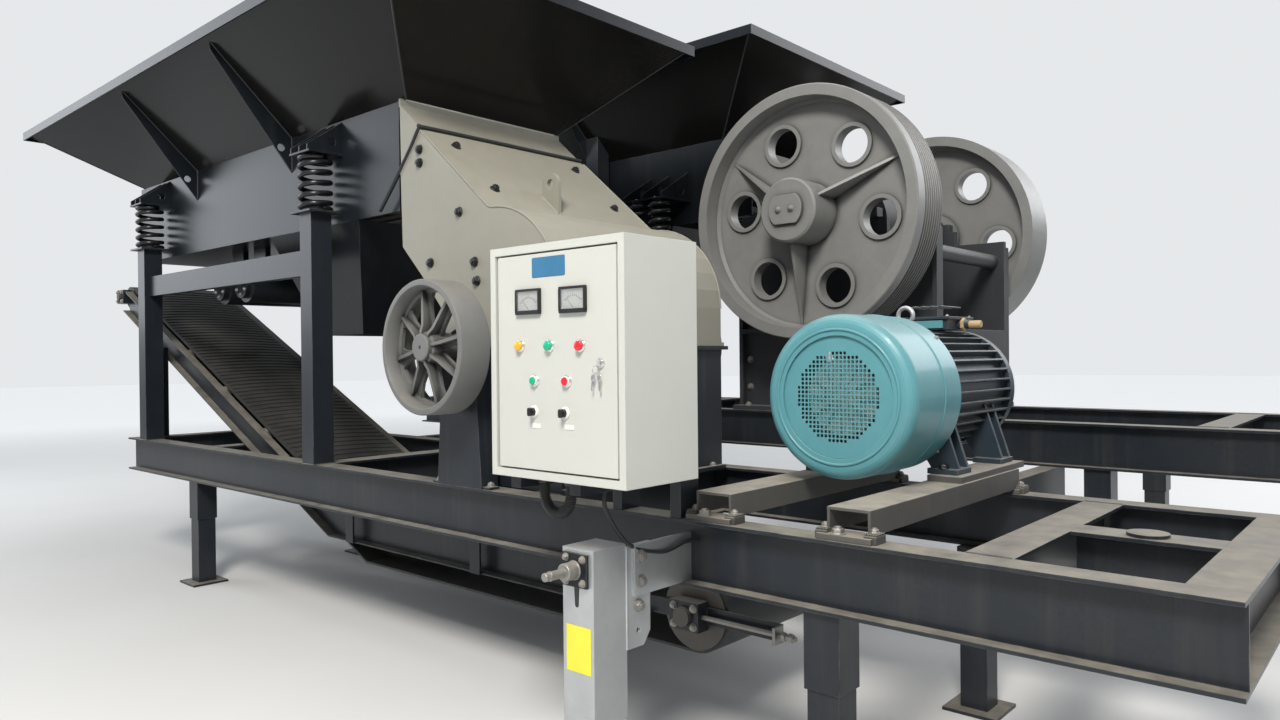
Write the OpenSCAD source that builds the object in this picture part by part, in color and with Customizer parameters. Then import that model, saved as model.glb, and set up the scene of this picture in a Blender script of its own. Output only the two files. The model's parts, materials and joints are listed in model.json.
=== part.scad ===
// Jaw and hammer crushing plant: two parallel chassis, each with a hopper and a vibrating feeder.
// The front line carries a hammer crusher, its motor and the control cabinet.
// The rear line carries the jaw crusher with its two flywheels.
// X runs along the chassis, Y runs away from the cabinet side, Z is up, lengths are millimetres.

/* [Chassis] */
// Length of a chassis
chassis_len = 7480; // [7300:10:8200]
// Depth of a chassis beam
beam_h = 250; // [220:5:300]
// Flange width of a chassis beam
beam_w = 116; // [110:1:125]
// Flange width of a cross beam
cross_w = 150; // [120:5:180]
// Flange thickness of the beams
flange_t = 13; // [9:1:18]
// Web thickness of the beams
web_t = 8; // [6:1:14]
// Height of the front deck above the ground
deck_z = 980; // [900:5:1050]
// Side of a leg's square tube
leg_w = 120; // [100:5:140]
// Height of the step between a leg and its sleeve
leg_step_z = 460; // [300:10:550]
// Distance of the legs from the middle of the chassis
leg_x = 2545; // [2400:5:2900]

/* [Rear line] */
// Offset of the rear line along the chassis
rear_dx = 150; // [0:10:300]
// Distance between the centre lines of the two lines
rear_dy = 2670; // [2600:10:3000]
// Height of the rear deck above the front deck
rear_dz = 220; // [200:5:260]

/* [Feeder] */
// Side of a feeder post
post_w = 130; // [110:5:150]
// Height of the front spring seats above the ground
front_seat_z = 2460; // [2430:5:2500]
// Height of the rear spring seats above the ground
rear_seat_z = 2520; // [2500:5:2600]
// Height of a front spring
front_spring_h = 330; // [300:5:360]
// Height of a rear spring
rear_spring_h = 260; // [240:5:300]
// Outer diameter of a front spring
spring_d = 200; // [170:5:220]
// Outer diameter of a rear spring
rear_spring_d = 180; // [150:5:190]
// Distance between the two rear springs of a corner
spring_pair = 200; // [195:5:240]
// Wire diameter of a spring
spring_wire = 26; // [18:1:30]
// Turns of a spring
spring_turns = 6; // [4:1:7]
// Room on each side between the trough and the outside of the hammer crusher
trough_room = 40; // [30:5:70]
// Height of the trough walls
trough_h = 600; // [560:10:640]
// Thickness of the trough plates
trough_t = 10; // [8:1:14]
// Depth of the vibrator's axis below the trough
vibrator_drop = 270; // [240:10:300]
// Diameter of the vibrator
vibrator_d = 250; // [200:10:300]

/* [Hopper] */
// Length of the hopper at its rim
rim_len = 5500; // [5300:10:5700]
// Width of the hopper at its rim
rim_w = 2240; // [2100:10:2400]
// Height of the hopper above the trough
hopper_h = 540; // [480:10:620]
// Length of the hopper's throat
throat_len = 3740; // [3600:10:3750]
// Width of a hopper plate, measured level
hopper_t = 12; // [8:1:16]
// Depth of the rim's edge strip
rim_strip_h = 56; // [40:2:80]

/* [Hammer crusher] */
// Width over the housing's side plates
housing_w = 1200; // [1160:10:1210]
// Thickness of the side plates
housing_t = 12; // [8:1:16]
// Height of the rotor axis and of the housing's split
rotor_z = 1645; // [1600:5:1680]
// Place of the rotor axis along the chassis
rotor_x = 592; // [560:2:620]
// Diameter of the rotor shaft
rotor_shaft_d = 90; // [80:2:110]
// Diameter of the spoked wheel
wheel_d = 630; // [580:5:680]
// Width of the spoked wheel
wheel_w = 165; // [140:5:180]
// Number of spokes
spokes = 8; // [6:1:10]
// Width of a rotor pedestal
pedestal_w = 100; // [80:5:140]

/* [Discharge conveyor] */
// Width of the belt
belt_w = 800; // [650:50:850]
// Thickness of the belt
belt_t = 12; // [8:1:16]
// Diameter of the tail drum
tail_d = 320; // [250:10:340]
// Diameter of the head drum
head_d = 160; // [120:10:180]
// Rise of the sloping run in degrees
belt_rise = 23.9; // [20:0.1:26]
// Depth of a side channel
channel_h = 190; // [120:5:200]

/* [Jaw crusher] */
// Height of the flywheel axis above the rear deck
jaw_axis_h = 1294; // [1250:2:1340]
// Place of the flywheel axis along the front chassis
jaw_axis_x = 1070; // [1040:5:1100]
// Diameter of the flywheels
flywheel_d = 1600; // [1500:10:1680]
// Width of a flywheel rim
flywheel_w = 330; // [300:5:350]
// Thickness of a flywheel rim
flywheel_rim = 72; // [60:2:90]
// Thickness of a flywheel web
flywheel_web = 50; // [40:2:70]
// Depth of the web behind the rim's outer edge
web_recess = 140; // [120:5:160]
// Number of round openings in a flywheel
flywheel_holes = 6; // [5:1:7]
// Radius of a round opening
hole_r = 112; // [90:2:120]
// Radius of the circle through the openings
hole_circle_r = 504; // [480:2:530]
// Distance between the outer faces of the two flywheels
flywheel_span = 2250; // [2230:10:2400]
// Distance over the crusher's side plates
jaw_w = 1140; // [1100:10:1180]
// Thickness of the crusher's side plates
jaw_t = 40; // [30:2:50]
// Width of the jaws
jaw_face_w = 900; // [860:10:940]
// Diameter of the flywheel shaft
jaw_shaft_d = 180; // [160:5:200]

/* [Motor] */
// Place of the motor axis along the chassis
motor_x = 2355; // [2330:5:2380]
// Height of the motor axis above the deck
motor_axis_h = 450; // [440:2:470]
// Outer diameter of the fan cowl
cowl_d = 645; // [620:5:670]
// Place of the cowl's front face across the chassis
cowl_y = -270; // [-300:5:-250]
// Distance of the motor's foot bolts from its axis
foot_x = 254; // [245:1:262]
// Pitch of the grille's square holes
grille_pitch = 17; // [15:1:20]
// Side of a square hole in the grille
grille_hole = 11; // [8:1:12]

/* [Control cabinet] */
// Width of the cabinet
cab_w = 650; // [600:10:700]
// Height of the cabinet
cab_h = 800; // [750:10:850]
// Depth of the cabinet
cab_d = 360; // [300:10:380]
// Width of the fixed frame around the door
cab_lip = 28; // [24:1:34]
// Thickness of the door
door_t = 20; // [16:1:24]
// Running gap around the door
door_gap = 6; // [5.5:0.5:8]

/* [Hidden] */
$fn = 64;

seat_gap = 0.3;
bearing_gap = 0.4;
run_gap = 6;
plate_t = 12;
trough_w = housing_w - 2 * trough_room;
split_flange = 28;
pedestal_gap = 8.5;
chassis_w = housing_w + 2 * (split_flange + pedestal_gap + pedestal_w);
rail_y = chassis_w / 2 - beam_w / 2;
rail_in = chassis_w / 2 - beam_w;
seat_z = [front_seat_z, rear_seat_z];
spring_h = [front_spring_h, rear_spring_h];
post_x = [[-3405, -845], [-3405, -605]];
spring_r = [spring_d / 2, rear_spring_d / 2];
spring_y = [rail_y, 800];
spring_dx = [[0], [-spring_pair / 2, spring_pair / 2]];
plate_x = [115, spring_pair / 2 + rear_spring_d / 2 + 20];
trough_x0 = -3900;
trough_x1 = [-150, 180];
trough_z = 2400;
grizzly_x = -1700;
throat_x1 = -80;
throat_z = trough_z + trough_h;
rim_x1 = 570;
rim_z = throat_z + hopper_h;
rim_t = 10;
fin_x = [-2800, -1360];
end_x = chassis_len / 2 - cross_w / 2;
cross_x = [[-3660, -2400, -845, 375, 1085, 3070, end_x], [-3660, -2126, -845, 175, 1450, 3070, end_x]];

// The whole plant stands with the middle of its outline over the origin
x_low = rim_x1 - rim_len - rim_t;
x_high = chassis_len / 2 + rear_dx;
cab_back = -960;
cab_front = cab_back - cab_d;
jack_y = -1200;
crank_len = 150;
hub_out = 130;
shaft_out = hub_out + 4;
y_low = min(cab_front, jack_y - crank_len);
y_high = max(rear_dy + rim_w / 2 + rim_t, rear_dy + flywheel_span / 2 + shaft_out);
shift = [-(x_low + x_high) / 2, -(y_low + y_high) / 2, 0];

// Outline of the hammer crusher's upper housing, clockwise, from its inlet edge
arc_c = [rotor_x + 98, rotor_z + 205];
arc_r = 470;
shell_line = concat([[-100, 2970], [110, 2790], [arc_c.x - 30, arc_c.y + arc_r + 8]],
    [for (a = [84:-12:0]) arc_c + arc_r * [cos(a), sin(a)]],
    [[arc_c.x + arc_r, rotor_z]]);
back_line = [[300, rotor_z], [285, rotor_z + 195], [113, rotor_z + 378], [-65, rotor_z + 548]];
seal_low = [-78, rotor_z + 940];
housing_line = concat(shell_line, back_line);
low_x0 = 300;
low_x1 = arc_c.x + arc_r;
low_t = 16;

jaw_y = rear_dy;
jaw_z = deck_z + rear_dz + jaw_axis_h;
jaw_deck = deck_z + rear_dz;

cab_x = 1570;
cab_z = 1180;
cab_t = 3;
pin_r = 4;
pin_x = cab_x + cab_lip + door_gap + door_t / 2 + 3;
pin_y = cab_front + door_t / 2;

motor_z = deck_z + motor_axis_h;
motor_shaft_r = 45;

module place() translate(shift) children();
module line_at(k) place() translate([k * rear_dx, k * rear_dy, k * rear_dz]) children();
module box(a, b) translate(a) cube(b - a);
module along_x(len) rotate([90, 0, 90]) linear_extrude(len) children();
module along_y(y0, y1) translate([0, y1, 0]) rotate([90, 0, 0]) linear_extrude(y1 - y0) children();
module rod_y(x, z, y0, y1, r) translate([x, y0, z]) rotate([-90, 0, 0]) cylinder(h = y1 - y0, r = r);
module turned(x, z, y0) translate([x, y0, z]) rotate([-90, 0, 0]) rotate_extrude($fn = 96) children();
module block8(p) hull() polyhedron(points = p, faces = [[0, 1, 2], [3, 4, 5], [5, 6, 7]]);

// Points of a clockwise outline moved inwards by t
function inset(p, t) = let (n = len(p)) [for (i = [0:n - 1])
    let (a = p[(i + n - 1) % n], b = p[i], c = p[(i + 1) % n],
        u = (b - a) / norm(b - a), v = (c - b) / norm(c - b), m = [u.y, -u.x], q = [v.y, -v.x])
    b + (m + q) * t / (1 + m * q)];

// A band of thickness t along the first n points of an outline
function band(p, n, t) = let (q = inset(p, t))
    concat([for (i = [0:n - 1]) p[i]], [for (i = [n - 1:-1:0]) q[i]]);

// Radius and width points of n vee grooves from y0 on, going towards +y
function grooves(r, y0, pitch, depth, n) = [for (i = [0:n - 1])
    for (g = [[0, 0.12], [depth, 0.34], [depth, 0.66], [0, 0.88]]) [r - g[0], y0 + (i + g[1]) * pitch]];

// Cross-section of a rolled beam with its top at zero
module beam_section(w) polygon([[-w / 2, 0], [w / 2, 0], [w / 2, -flange_t], [web_t / 2, -flange_t],
    [web_t / 2, flange_t - beam_h], [w / 2, flange_t - beam_h], [w / 2, -beam_h], [-w / 2, -beam_h],
    [-w / 2, flange_t - beam_h], [-web_t / 2, flange_t - beam_h], [-web_t / 2, -flange_t],
    [-w / 2, -flange_t]]);

module rails(k) line_at(k) for (s = [-1, 1])
    translate([-chassis_len / 2, s * rail_y, deck_z]) along_x(chassis_len) beam_section(beam_w);

module cross_beams(k) line_at(k) for (x = cross_x[k])
    translate([x, 0, deck_z]) along_y(-rail_in, rail_in) beam_section(cross_w);

module legs(k) {
    foot_z = 14;
    sleeve = leg_w + 16;
    line_at(k) for (s = [-1, 1], t = [-1, 1]) translate([s * leg_x, t * (rail_y - 30), 0]) {
        ground = -k * rear_dz;
        box([-leg_w, -leg_w, ground], [leg_w, leg_w, ground + foot_z]);
        box([-leg_w / 2, -leg_w / 2, ground + foot_z], [leg_w / 2, leg_w / 2, leg_step_z]);
        box([-sleeve / 2, -sleeve / 2, leg_step_z], [sleeve / 2, sleeve / 2, deck_z - beam_h]);
    }
}

module front_rails() color("#2b2d2e") rails(0);
module rear_rails() color("#2b2d2e") rails(1);
module front_cross_beams() color("#34363a") cross_beams(0);
module rear_cross_beams() color("#34363a") cross_beams(1);
module front_legs() color("#303234") legs(0);
module rear_legs() color("#303234") legs(1);

module kingpin_beam() color("#3a3c3e") place() {
    x0 = cross_x[0][5] + cross_w / 2;
    x1 = cross_x[0][6] - cross_w / 2;
    translate([x0, 0, deck_z]) along_x(x1 - x0) beam_section(cross_w);
    translate([(x0 + x1) / 2, 0, deck_z]) cylinder(h = 12, d = 130);
}

// Ties between the two chassis: into the front rail's web, under the rear rail
tie_x = [-2200, 2400];
module tie_beams() color("#2b2d2e") place() for (x = tie_x)
    box([x, rail_y + web_t / 2, deck_z + rear_dz - beam_h - 190],
        [x + 100, rear_dy - rail_in, deck_z + rear_dz - beam_h]);

module posts(k) line_at(k) for (s = [0, 1], x = post_x[k]) mirror([0, s, 0]) translate([x, 0, 0]) {
    top = seat_z[k] - k * rear_dz;
    out = spring_y[k] + spring_r[k];
    box([-post_w / 2, rail_y - post_w / 2, deck_z], [post_w / 2, rail_y + post_w / 2, top - plate_t]);
    box([-plate_x[k], rail_y - plate_x[0] + 15, top - plate_t], [plate_x[k], out, top]);
    for (d = spring_dx[k]) translate([d, spring_y[k], top]) cylinder(h = 40,
        r = spring_r[k] - spring_wire - 4);
    if (k == 1) for (d = [-55, 45]) translate([d, 0, 0]) along_x(10)
        polygon([[rail_y, top - plate_t], [out - 10, top - plate_t], [out - 10, top - 40], [rail_y,
            top - 320]]);
}
module feeder_posts() color("#26282b") posts(0);
module rear_posts() color("#26282b") posts(1);

// Channels between the posts of each side
brace_drop = 370;
module post_braces() color("#2c2e31") for (k = [0, 1]) line_at(k) for (s = [-1, 1])
    translate([post_x[k][0] + post_w / 2, s * rail_y, seat_z[k] - k * rear_dz - brace_drop])
        along_x(post_x[k][1] - post_x[k][0] - post_w)
        polygon([[-30, 0], [30, 0], [30, 10], [-18, 10], [-18, 140], [30, 140], [30, 150], [-30, 150]]);

// Wire of a helical spring, swept as rings of six points
module coil(h, d) {
    seg = 12;
    n = spring_turns * seg;
    wr = spring_wire / 2;
    r = d / 2 - wr;
    pts = [for (i = [0:n], j = [0:5]) let (a = 360 * i / seg, b = 60 * j + 30, q = r + wr * cos(b))
        [q * cos(a), q * sin(a), wr + (h - spring_wire) * i / n + wr * sin(b)]];
    sides = [for (i = [0:n - 1], j = [0:5]) [6 * i + j, 6 * i + (j + 1) % 6,
        6 * i + 6 + (j + 1) % 6, 6 * i + 6 + j]];
    polyhedron(points = pts, faces = concat([[5, 4, 3, 2, 1, 0]], sides, [[for (j = [0:5]) 6 * n + j]]));
}
module springs(k) line_at(k) for (s = [-1, 1], x = post_x[k], d = spring_dx[k])
    translate([x + d, s * spring_y[k], seat_z[k] - k * rear_dz + seat_gap])
        coil(spring_h[k] - 2 * seat_gap, 2 * spring_r[k]);
module feeder_springs() color("#1d1e20") springs(0);
module rear_springs() color("#1d1e20") springs(1);

// Plate over a spring with three gussets that carry the trough
module bracket(k) {
    reach = spring_y[k] + spring_r[k] - trough_w / 2;
    gusset_h = [190, 225][k];
    eye_r = [28, 42][k];
    box([-plate_x[k], 0, 0], [plate_x[k], reach, plate_t]);
    for (d = spring_dx[k]) translate([d, spring_y[k] - trough_w / 2, -40])
        cylinder(h = 40, r = spring_r[k] - spring_wire - 4);
    for (i = [-1, 0, 1]) translate([i * (plate_x[k] - 20) - 5, 0, plate_t]) along_x(10) difference() {
        polygon([[0, 0], [reach, 0], [reach, 30], [0, gusset_h]]);
        translate([reach * 0.3, gusset_h * 0.36]) circle(r = eye_r);
    }
}
module brackets(k) line_at(k) for (s = [0, 1], x = post_x[k]) mirror([0, 1 - s, 0])
    translate([x, trough_w / 2, seat_z[k] - k * rear_dz + spring_h[k]]) bracket(k);
module feeder_brackets() color("#232527") brackets(0);
module rear_brackets() color("#232527") brackets(1);

module trough(k) line_at(k) difference() {
    union() {
        translate([trough_x0, 0, trough_z]) along_x(trough_x1[k] - trough_x0) difference() {
            translate([-trough_w / 2, 0]) square([trough_w, trough_h]);
            translate([-trough_w / 2 + trough_t, trough_t + 6]) square([trough_w,
                trough_h] - [2 * trough_t, 0]);
        }
        box([trough_x0, -trough_w / 2, trough_z], [trough_x0 + trough_t, trough_w / 2, throat_z]);
    }
    box([grizzly_x, -trough_w / 2 + trough_t, trough_z - 1], [trough_x1[k] + 1, trough_w / 2 - trough_t,
        throat_z]);
}
module feeder_trough() color("#25272a") trough(0);

module grizzly(k) line_at(k) {
    inner = trough_w / 2 - trough_t;
    bars = 8;
    for (x = [grizzly_x, trough_x1[k] - 60]) box([x, -inner, trough_z + 20], [x + 60, inner, trough_z + 60]);
    for (i = [0:bars - 1]) translate([grizzly_x, (i - (bars - 1) / 2) * 2 * inner / (bars + 1),
        trough_z + 60])
        linear_extrude(60) polygon([[0, -24], [0, 24], [trough_x1[k] - grizzly_x, 14],
            [trough_x1[k] - grizzly_x, -14]]);
}
module grizzly_bars() color("#4a4038") grizzly(0);
module rear_trough() color("#25272a") {
    trough(1);
    grizzly(1);
}

// Twin unbalance tubes and their saddle below the pan
module vibrators() color("#1f2123") for (k = [0, 1]) line_at(k) {
    z = trough_z - vibrator_drop;
    for (x = [-2650, -2300]) {
        rod_y(x, z, -430, 430, vibrator_d / 2);
        for (y = [-330, 290]) box([x - 90, y, z], [x + 90, y + 40, trough_z]);
        for (s = [-1, 1]) rod_y(x, z, s * 450 - 20, s * 450 + 20, vibrator_d / 2 - 30);
    }
    box([-2650, -60, z - 60], [-2300, 60, z + 60]);
}

// Four sloping walls between two level rectangles given by their low and high corners
function wall_points(a0, a1, az, b0, b1, bz, t, s) = [for (r = [[a0, a1, az], [b0, b1, bz]], m = [0, t],
    e = [0, 1])
    s[0] == 0 ? [e == 0 ? r[0].x + m : r[1].x - m, s[1] < 0 ? r[0].y + m : r[1].y - m, r[2]]
        : [s[0] < 0 ? r[0].x + m : r[1].x - m, e == 0 ? r[0].y + m : r[1].y - m, r[2]]];

module hopper_wall(k, s) line_at(k) block8(wall_points(
    [throat_x1 - throat_len, -trough_w / 2], [throat_x1, trough_w / 2], throat_z,
    [rim_x1 - rim_len, -rim_w / 2], [rim_x1, rim_w / 2], rim_z, hopper_t, s));
module hopper_box(k) for (s = [[0, -1], [0, 1], [-1, 0], [1, 0]]) hopper_wall(k, s);
module hopper_walls() color("#2a211b") hopper_box(0);
module rear_hopper_walls() color("#2a211b") hopper_box(1);

// Angle section around the top of a hopper
module rim(k) line_at(k) translate([rim_x1 - rim_len, -rim_w / 2, rim_z]) difference() {
    box([-rim_t, -rim_t, -rim_strip_h], [rim_len + rim_t, rim_w + rim_t, 8]);
    box([-2, -2, -rim_strip_h - 1], [rim_len + 2, rim_w + 2, 0]);
    box([hopper_t, hopper_t, -rim_strip_h - 1], [rim_len - hopper_t, rim_w - hopper_t, 9]);
}
module hopper_rims() color("#1e1f21") {
    rim(0);
    rim(1);
}

// Triangular fins below the long hopper walls
module fins(k) line_at(k) for (s = [0, 1], x = fin_x) mirror([0, s, 0])
    translate([x, 0, 0]) along_x(plate_t) difference() {
        out = 0.9;
        w = rim_w / 2 - trough_w / 2;
        y = trough_w / 2 + seat_gap;
        polygon([[y, throat_z - 220], [y, throat_z - 1], [y + w * out, throat_z + hopper_h * out - 1],
            [y + w * out, throat_z + hopper_h * out - 45]]);
        translate([y + 0.13 * w, throat_z - 70]) circle(r = 24);
    }
module hopper_fins() color("#1c1d1f") {
    fins(0);
    fins(1);
}

// Square props from the braces of the rear line up to the hopper, cut to its slope
prop_w = 130;
module hopper_props() color("#2c2e31") line_at(1) for (s = [0, 1], x = [-2785, -1345]) mirror([0, s, 0]) {
    rise = hopper_h / (rim_w - trough_w) * 2;
    foot = seat_z[1] - rear_dz - brace_drop + 150;
    y = [rail_y - prop_w / 2, rail_y + prop_w / 2];
    translate([x, 0, 0]) along_x(prop_w) polygon([[y[0], foot], [y[1], foot],
        for (t = [y[1], y[0]]) [t, throat_z + (t - trough_w / 2) * rise - 1]]);
}

// Chute below the grizzly, four walls that narrow downwards
chute_z = trough_z - 650;
module fines_chutes() color("#222426") for (k = [0, 1]) line_at(k) {
    a = [grizzly_x + 40, -trough_w / 2];
    b = [-570, trough_w / 2];
    c = [-1500, -280];
    d = [-1000, 280];
    difference() {
        block8([for (r = [[a, b, trough_z], [c, d, chute_z]], x = [r[0].x, r[1].x], y = [r[0].y,
            r[1].y]) [x, y, r[2]]]);
        block8([for (r = [[a, b, trough_z + 1], [c, d, chute_z - 1]], x = [r[0].x + 10, r[1].x - 10],
            y = [r[0].y + 10, r[1].y - 10]) [x, y, r[2]]]);
    }
}

// Side plate of the hammer crusher, with the lower half of its edge flange and the shaft notch
module housing_side() {
    side_line = concat([for (i = [1:len(shell_line) - 1]) shell_line[i]], back_line, [seal_low]);
    difference() {
        union() {
            along_y(housing_w / 2 - housing_t, housing_w / 2) polygon(side_line);
            box([low_x0, housing_w / 2 - housing_t, rotor_z], [low_x1, housing_w / 2 + split_flange,
                rotor_z + 20]);
        }
        rod_y(rotor_x, rotor_z, housing_w / 2 - 100, housing_w / 2 + 100, rotor_shaft_d / 2 + run_gap);
    }
}
module housing_near_side() color("#a5a293") place() mirror([0, 1, 0]) housing_side();
module housing_far_side() color("#a5a293") place() housing_side();

// Top plate with the cheeks of its inlet hood and the lifting lug on the slope
module housing_cover() color("#9c998b") place() {
    y = housing_w / 2 - housing_t;
    lug = [574, rotor_z + 866];
    lug_r = 60;
    along_y(-y, y) polygon(band(housing_line, len(shell_line), 10));
    for (t = [-y, y - 8]) along_y(t, t + 8) polygon([shell_line[0], shell_line[1],
        shell_line[1] + [10, -40], seal_low + [30, -40], seal_low + [-10, -40]]);
    along_y(-112, -88) difference() {
        union() {
            polygon([lug + [-lug_r, 0], lug + [lug_r, 0], [lug.x + lug_r, 2346], [lug.x - lug_r, 2447]]);
            translate(lug) circle(r = lug_r);
        }
        translate(lug) circle(r = 27);
    }
}
module housing_back() color("#8f8c80") place() {
    y = housing_w / 2 - housing_t;
    n = len(shell_line);
    inner = inset(housing_line, 10);
    along_y(-y, y) polygon(concat([for (i = [n:n + 3]) housing_line[i]], [for (i = [n + 3:-1:n]) inner[i]]));
}

module lower_housing() color("#2d2f31") place() difference() {
    union() {
        box([low_x0, -housing_w / 2, deck_z], [low_x1, housing_w / 2, rotor_z]);
        box([low_x0 - split_flange, -housing_w / 2 - split_flange, rotor_z - 20],
            [low_x1 + split_flange, housing_w / 2 + split_flange, rotor_z]);
        box([low_x0 - split_flange, -housing_w / 2, deck_z], [low_x1 + split_flange, housing_w / 2,
            deck_z + 20]);
    }
    box([low_x0 + low_t, -housing_w / 2 + low_t, deck_z - 1], [low_x1 - low_t, housing_w / 2 - low_t,
        rotor_z + 1]);
    rod_y(rotor_x, rotor_z, -housing_w, housing_w, rotor_shaft_d / 2 + run_gap);
}

// Pedestals with plummer blocks on both rails
module pedestal() {
    y0 = housing_w / 2 + split_flange + pedestal_gap;
    y1 = y0 + pedestal_w;
    difference() {
        union() {
            along_y(y0, y1) polygon([[rotor_x - 170, deck_z], [rotor_x + 170, deck_z],
                [rotor_x + 130, rotor_z - 70], [rotor_x - 130, rotor_z - 70]]);
            box([rotor_x - 145, y0, rotor_z - 70], [rotor_x + 145, y1, rotor_z - 35]);
            rod_y(rotor_x, rotor_z, y0, y1, 88);
        }
        rod_y(rotor_x, rotor_z, y0 - 1, y1 + 1, rotor_shaft_d / 2 + bearing_gap);
    }
}
module rotor_pedestals() color("#2a2c2e") place() for (s = [0, 1]) mirror([0, s, 0]) pedestal();

wheel_y = -chassis_w / 2 - 50;
module rotor_shaft() color("#8a8d90") place()
    rod_y(rotor_x, rotor_z, wheel_y - wheel_w + 12, chassis_w / 2 + 270, rotor_shaft_d / 2);

// Cast wheel with tapered spokes
module spoked_wheel() color("#8b8c86") place() difference() {
    translate([rotor_x, 0, rotor_z]) {
        along_y(wheel_y - wheel_w, wheel_y) difference() {
            circle(d = wheel_d, $fn = 96);
            circle(d = wheel_d - 64, $fn = 96);
        }
        along_y(wheel_y - wheel_w + 30, wheel_y - 30) {
            for (i = [0:spokes - 1]) rotate(i * 360 / spokes + 12)
                polygon([[70, -26], [70, 26], [wheel_d / 2 - 28, 17], [wheel_d / 2 - 28, -17]]);
            circle(r = 82);
        }
        along_y(wheel_y - wheel_w, wheel_y - 10) circle(r = 66);
    }
    rod_y(rotor_x, rotor_z, wheel_y - wheel_w - 1, wheel_y + 1, rotor_shaft_d / 2 + 0.1);
}

// Turned pulley with vee grooves, disc web and hub
module vee_pulley(r, w, n, bore) difference() {
    rotate([-90, 0, 0]) rotate_extrude($fn = 96) polygon(concat([[bore, 0], [60 + bore * 0.4, 0],
        [60 + bore * 0.4, w * 0.35], [r - 45, w * 0.35], [r - 45, 0], [r, 0]],
        grooves(r, 0, w / n, 14, n), [[r, w], [r - 45, w], [r - 45, w * 0.65],
        [60 + bore * 0.4, w * 0.65], [60 + bore * 0.4, w], [bore, w]]));
    for (a = [0:72:288]) rotate([0, a, 0]) rod_y((r + 30) / 2, 0, -1, w + 1, r * 0.13);
}
module rotor_pulley() color("#6e706c") place() translate([rotor_x, chassis_w / 2 + 60, rotor_z])
    vee_pulley(280, 200, 6, rotor_shaft_d / 2 + 0.1);

module cabinet_box() color("#dcdbd2") place() difference() {
    x1 = cab_x + cab_w;
    z1 = cab_z + cab_h;
    box([cab_x, cab_front, cab_z], [x1, cab_back, z1]);
    box([cab_x + cab_t, cab_front + door_t + 12, cab_z + cab_t], [x1 - cab_t, cab_back - cab_t, z1 - cab_t]);
    box([cab_x + cab_lip, cab_front - 1, cab_z + cab_lip], [x1 - cab_lip, cab_front + door_t + 13,
        z1 - cab_lip]);
    translate([pin_x, pin_y, cab_z + cab_lip - 15]) cylinder(h = cab_h - 2 * cab_lip + 30,
        r = pin_r + bearing_gap);
}
door_x0 = pin_x;
door_x1 = cab_x + cab_w - cab_lip - door_gap;
door_z0 = cab_z + cab_lip + door_gap;
door_z1 = cab_z + cab_h - cab_lip - door_gap;
module cabinet_door() color("#e4e3da") place() {
    box([door_x0, cab_front, door_z0], [door_x1, cab_front + door_t, door_z1]);
    translate([pin_x, pin_y, door_z0]) cylinder(h = door_z1 - door_z0, r = door_t / 2);
    translate([pin_x, pin_y, door_z0 - door_gap - 12]) cylinder(h = door_z1 - door_z0 + 2 * (door_gap + 12),
        r = pin_r);
    lock = [2116, 1576];
    rod_y(lock.x, lock.y, cab_front - 6, cab_front, 14);
    box([lock.x - 2, cab_front - 20, lock.y - 10], [lock.x + 2, cab_front - 6, lock.y + 10]);
}

// Two panel meters with a raised frame
module door_meters() color("#e9e8e2") place() for (m = [[1778, 1785], [1996, 1784]])
    translate([m.x, cab_front, m.y]) along_y(-12, 0) square([122, 84], center = true);

// Lamps, push buttons and selector knobs
module door_controls() color("#b9bcbe") place() {
    lamps = [[1731, 1635], [1879, 1633], [2026, 1631]];
    buttons = [[1804, 1515], [1961, 1517]];
    knobs = [[1799, 1410], [1951, 1412]];
    for (p = concat(lamps, buttons)) {
        rod_y(p.x, p.y, cab_front - 8, cab_front, 22);
        rod_y(p.x, p.y, cab_front - 18, cab_front - 8, 16);
    }
    for (p = knobs) {
        rod_y(p.x, p.y, cab_front - 8, cab_front, 20);
        rod_y(p.x, p.y, cab_front - 16, cab_front - 8, 15);
        box([p.x - 5, cab_front - 28, p.y - 15], [p.x + 5, cab_front - 16, p.y + 15]);
    }
}

// Two arms below the cabinet that stand on the near rail
module cabinet_bracket() color("#2b2d2f") place() for (x = [1628, 1930]) {
    box([x - 25, cab_front + 60, cab_z - 50], [x + 25, -rail_in - 4, cab_z]);
    box([x - 25, -chassis_w / 2 + 4, deck_z], [x + 25, -rail_in - 4, cab_z - 50]);
}

// Hose bend between two glands below the cabinet
module conduit_bend() color("#151618") place() translate([1760, -1180, cab_z - 70]) {
    rotate([90, 0, 0]) rotate_extrude(angle = -180) translate([68, 0]) circle(r = 21, $fn = 32);
    for (s = [-1, 1]) translate([s * 68, 0, 0]) cylinder(h = 70, r = 21);
    for (s = [-1, 1]) translate([s * 68, 0, 40]) cylinder(h = 30, r = 28);
}

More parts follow.
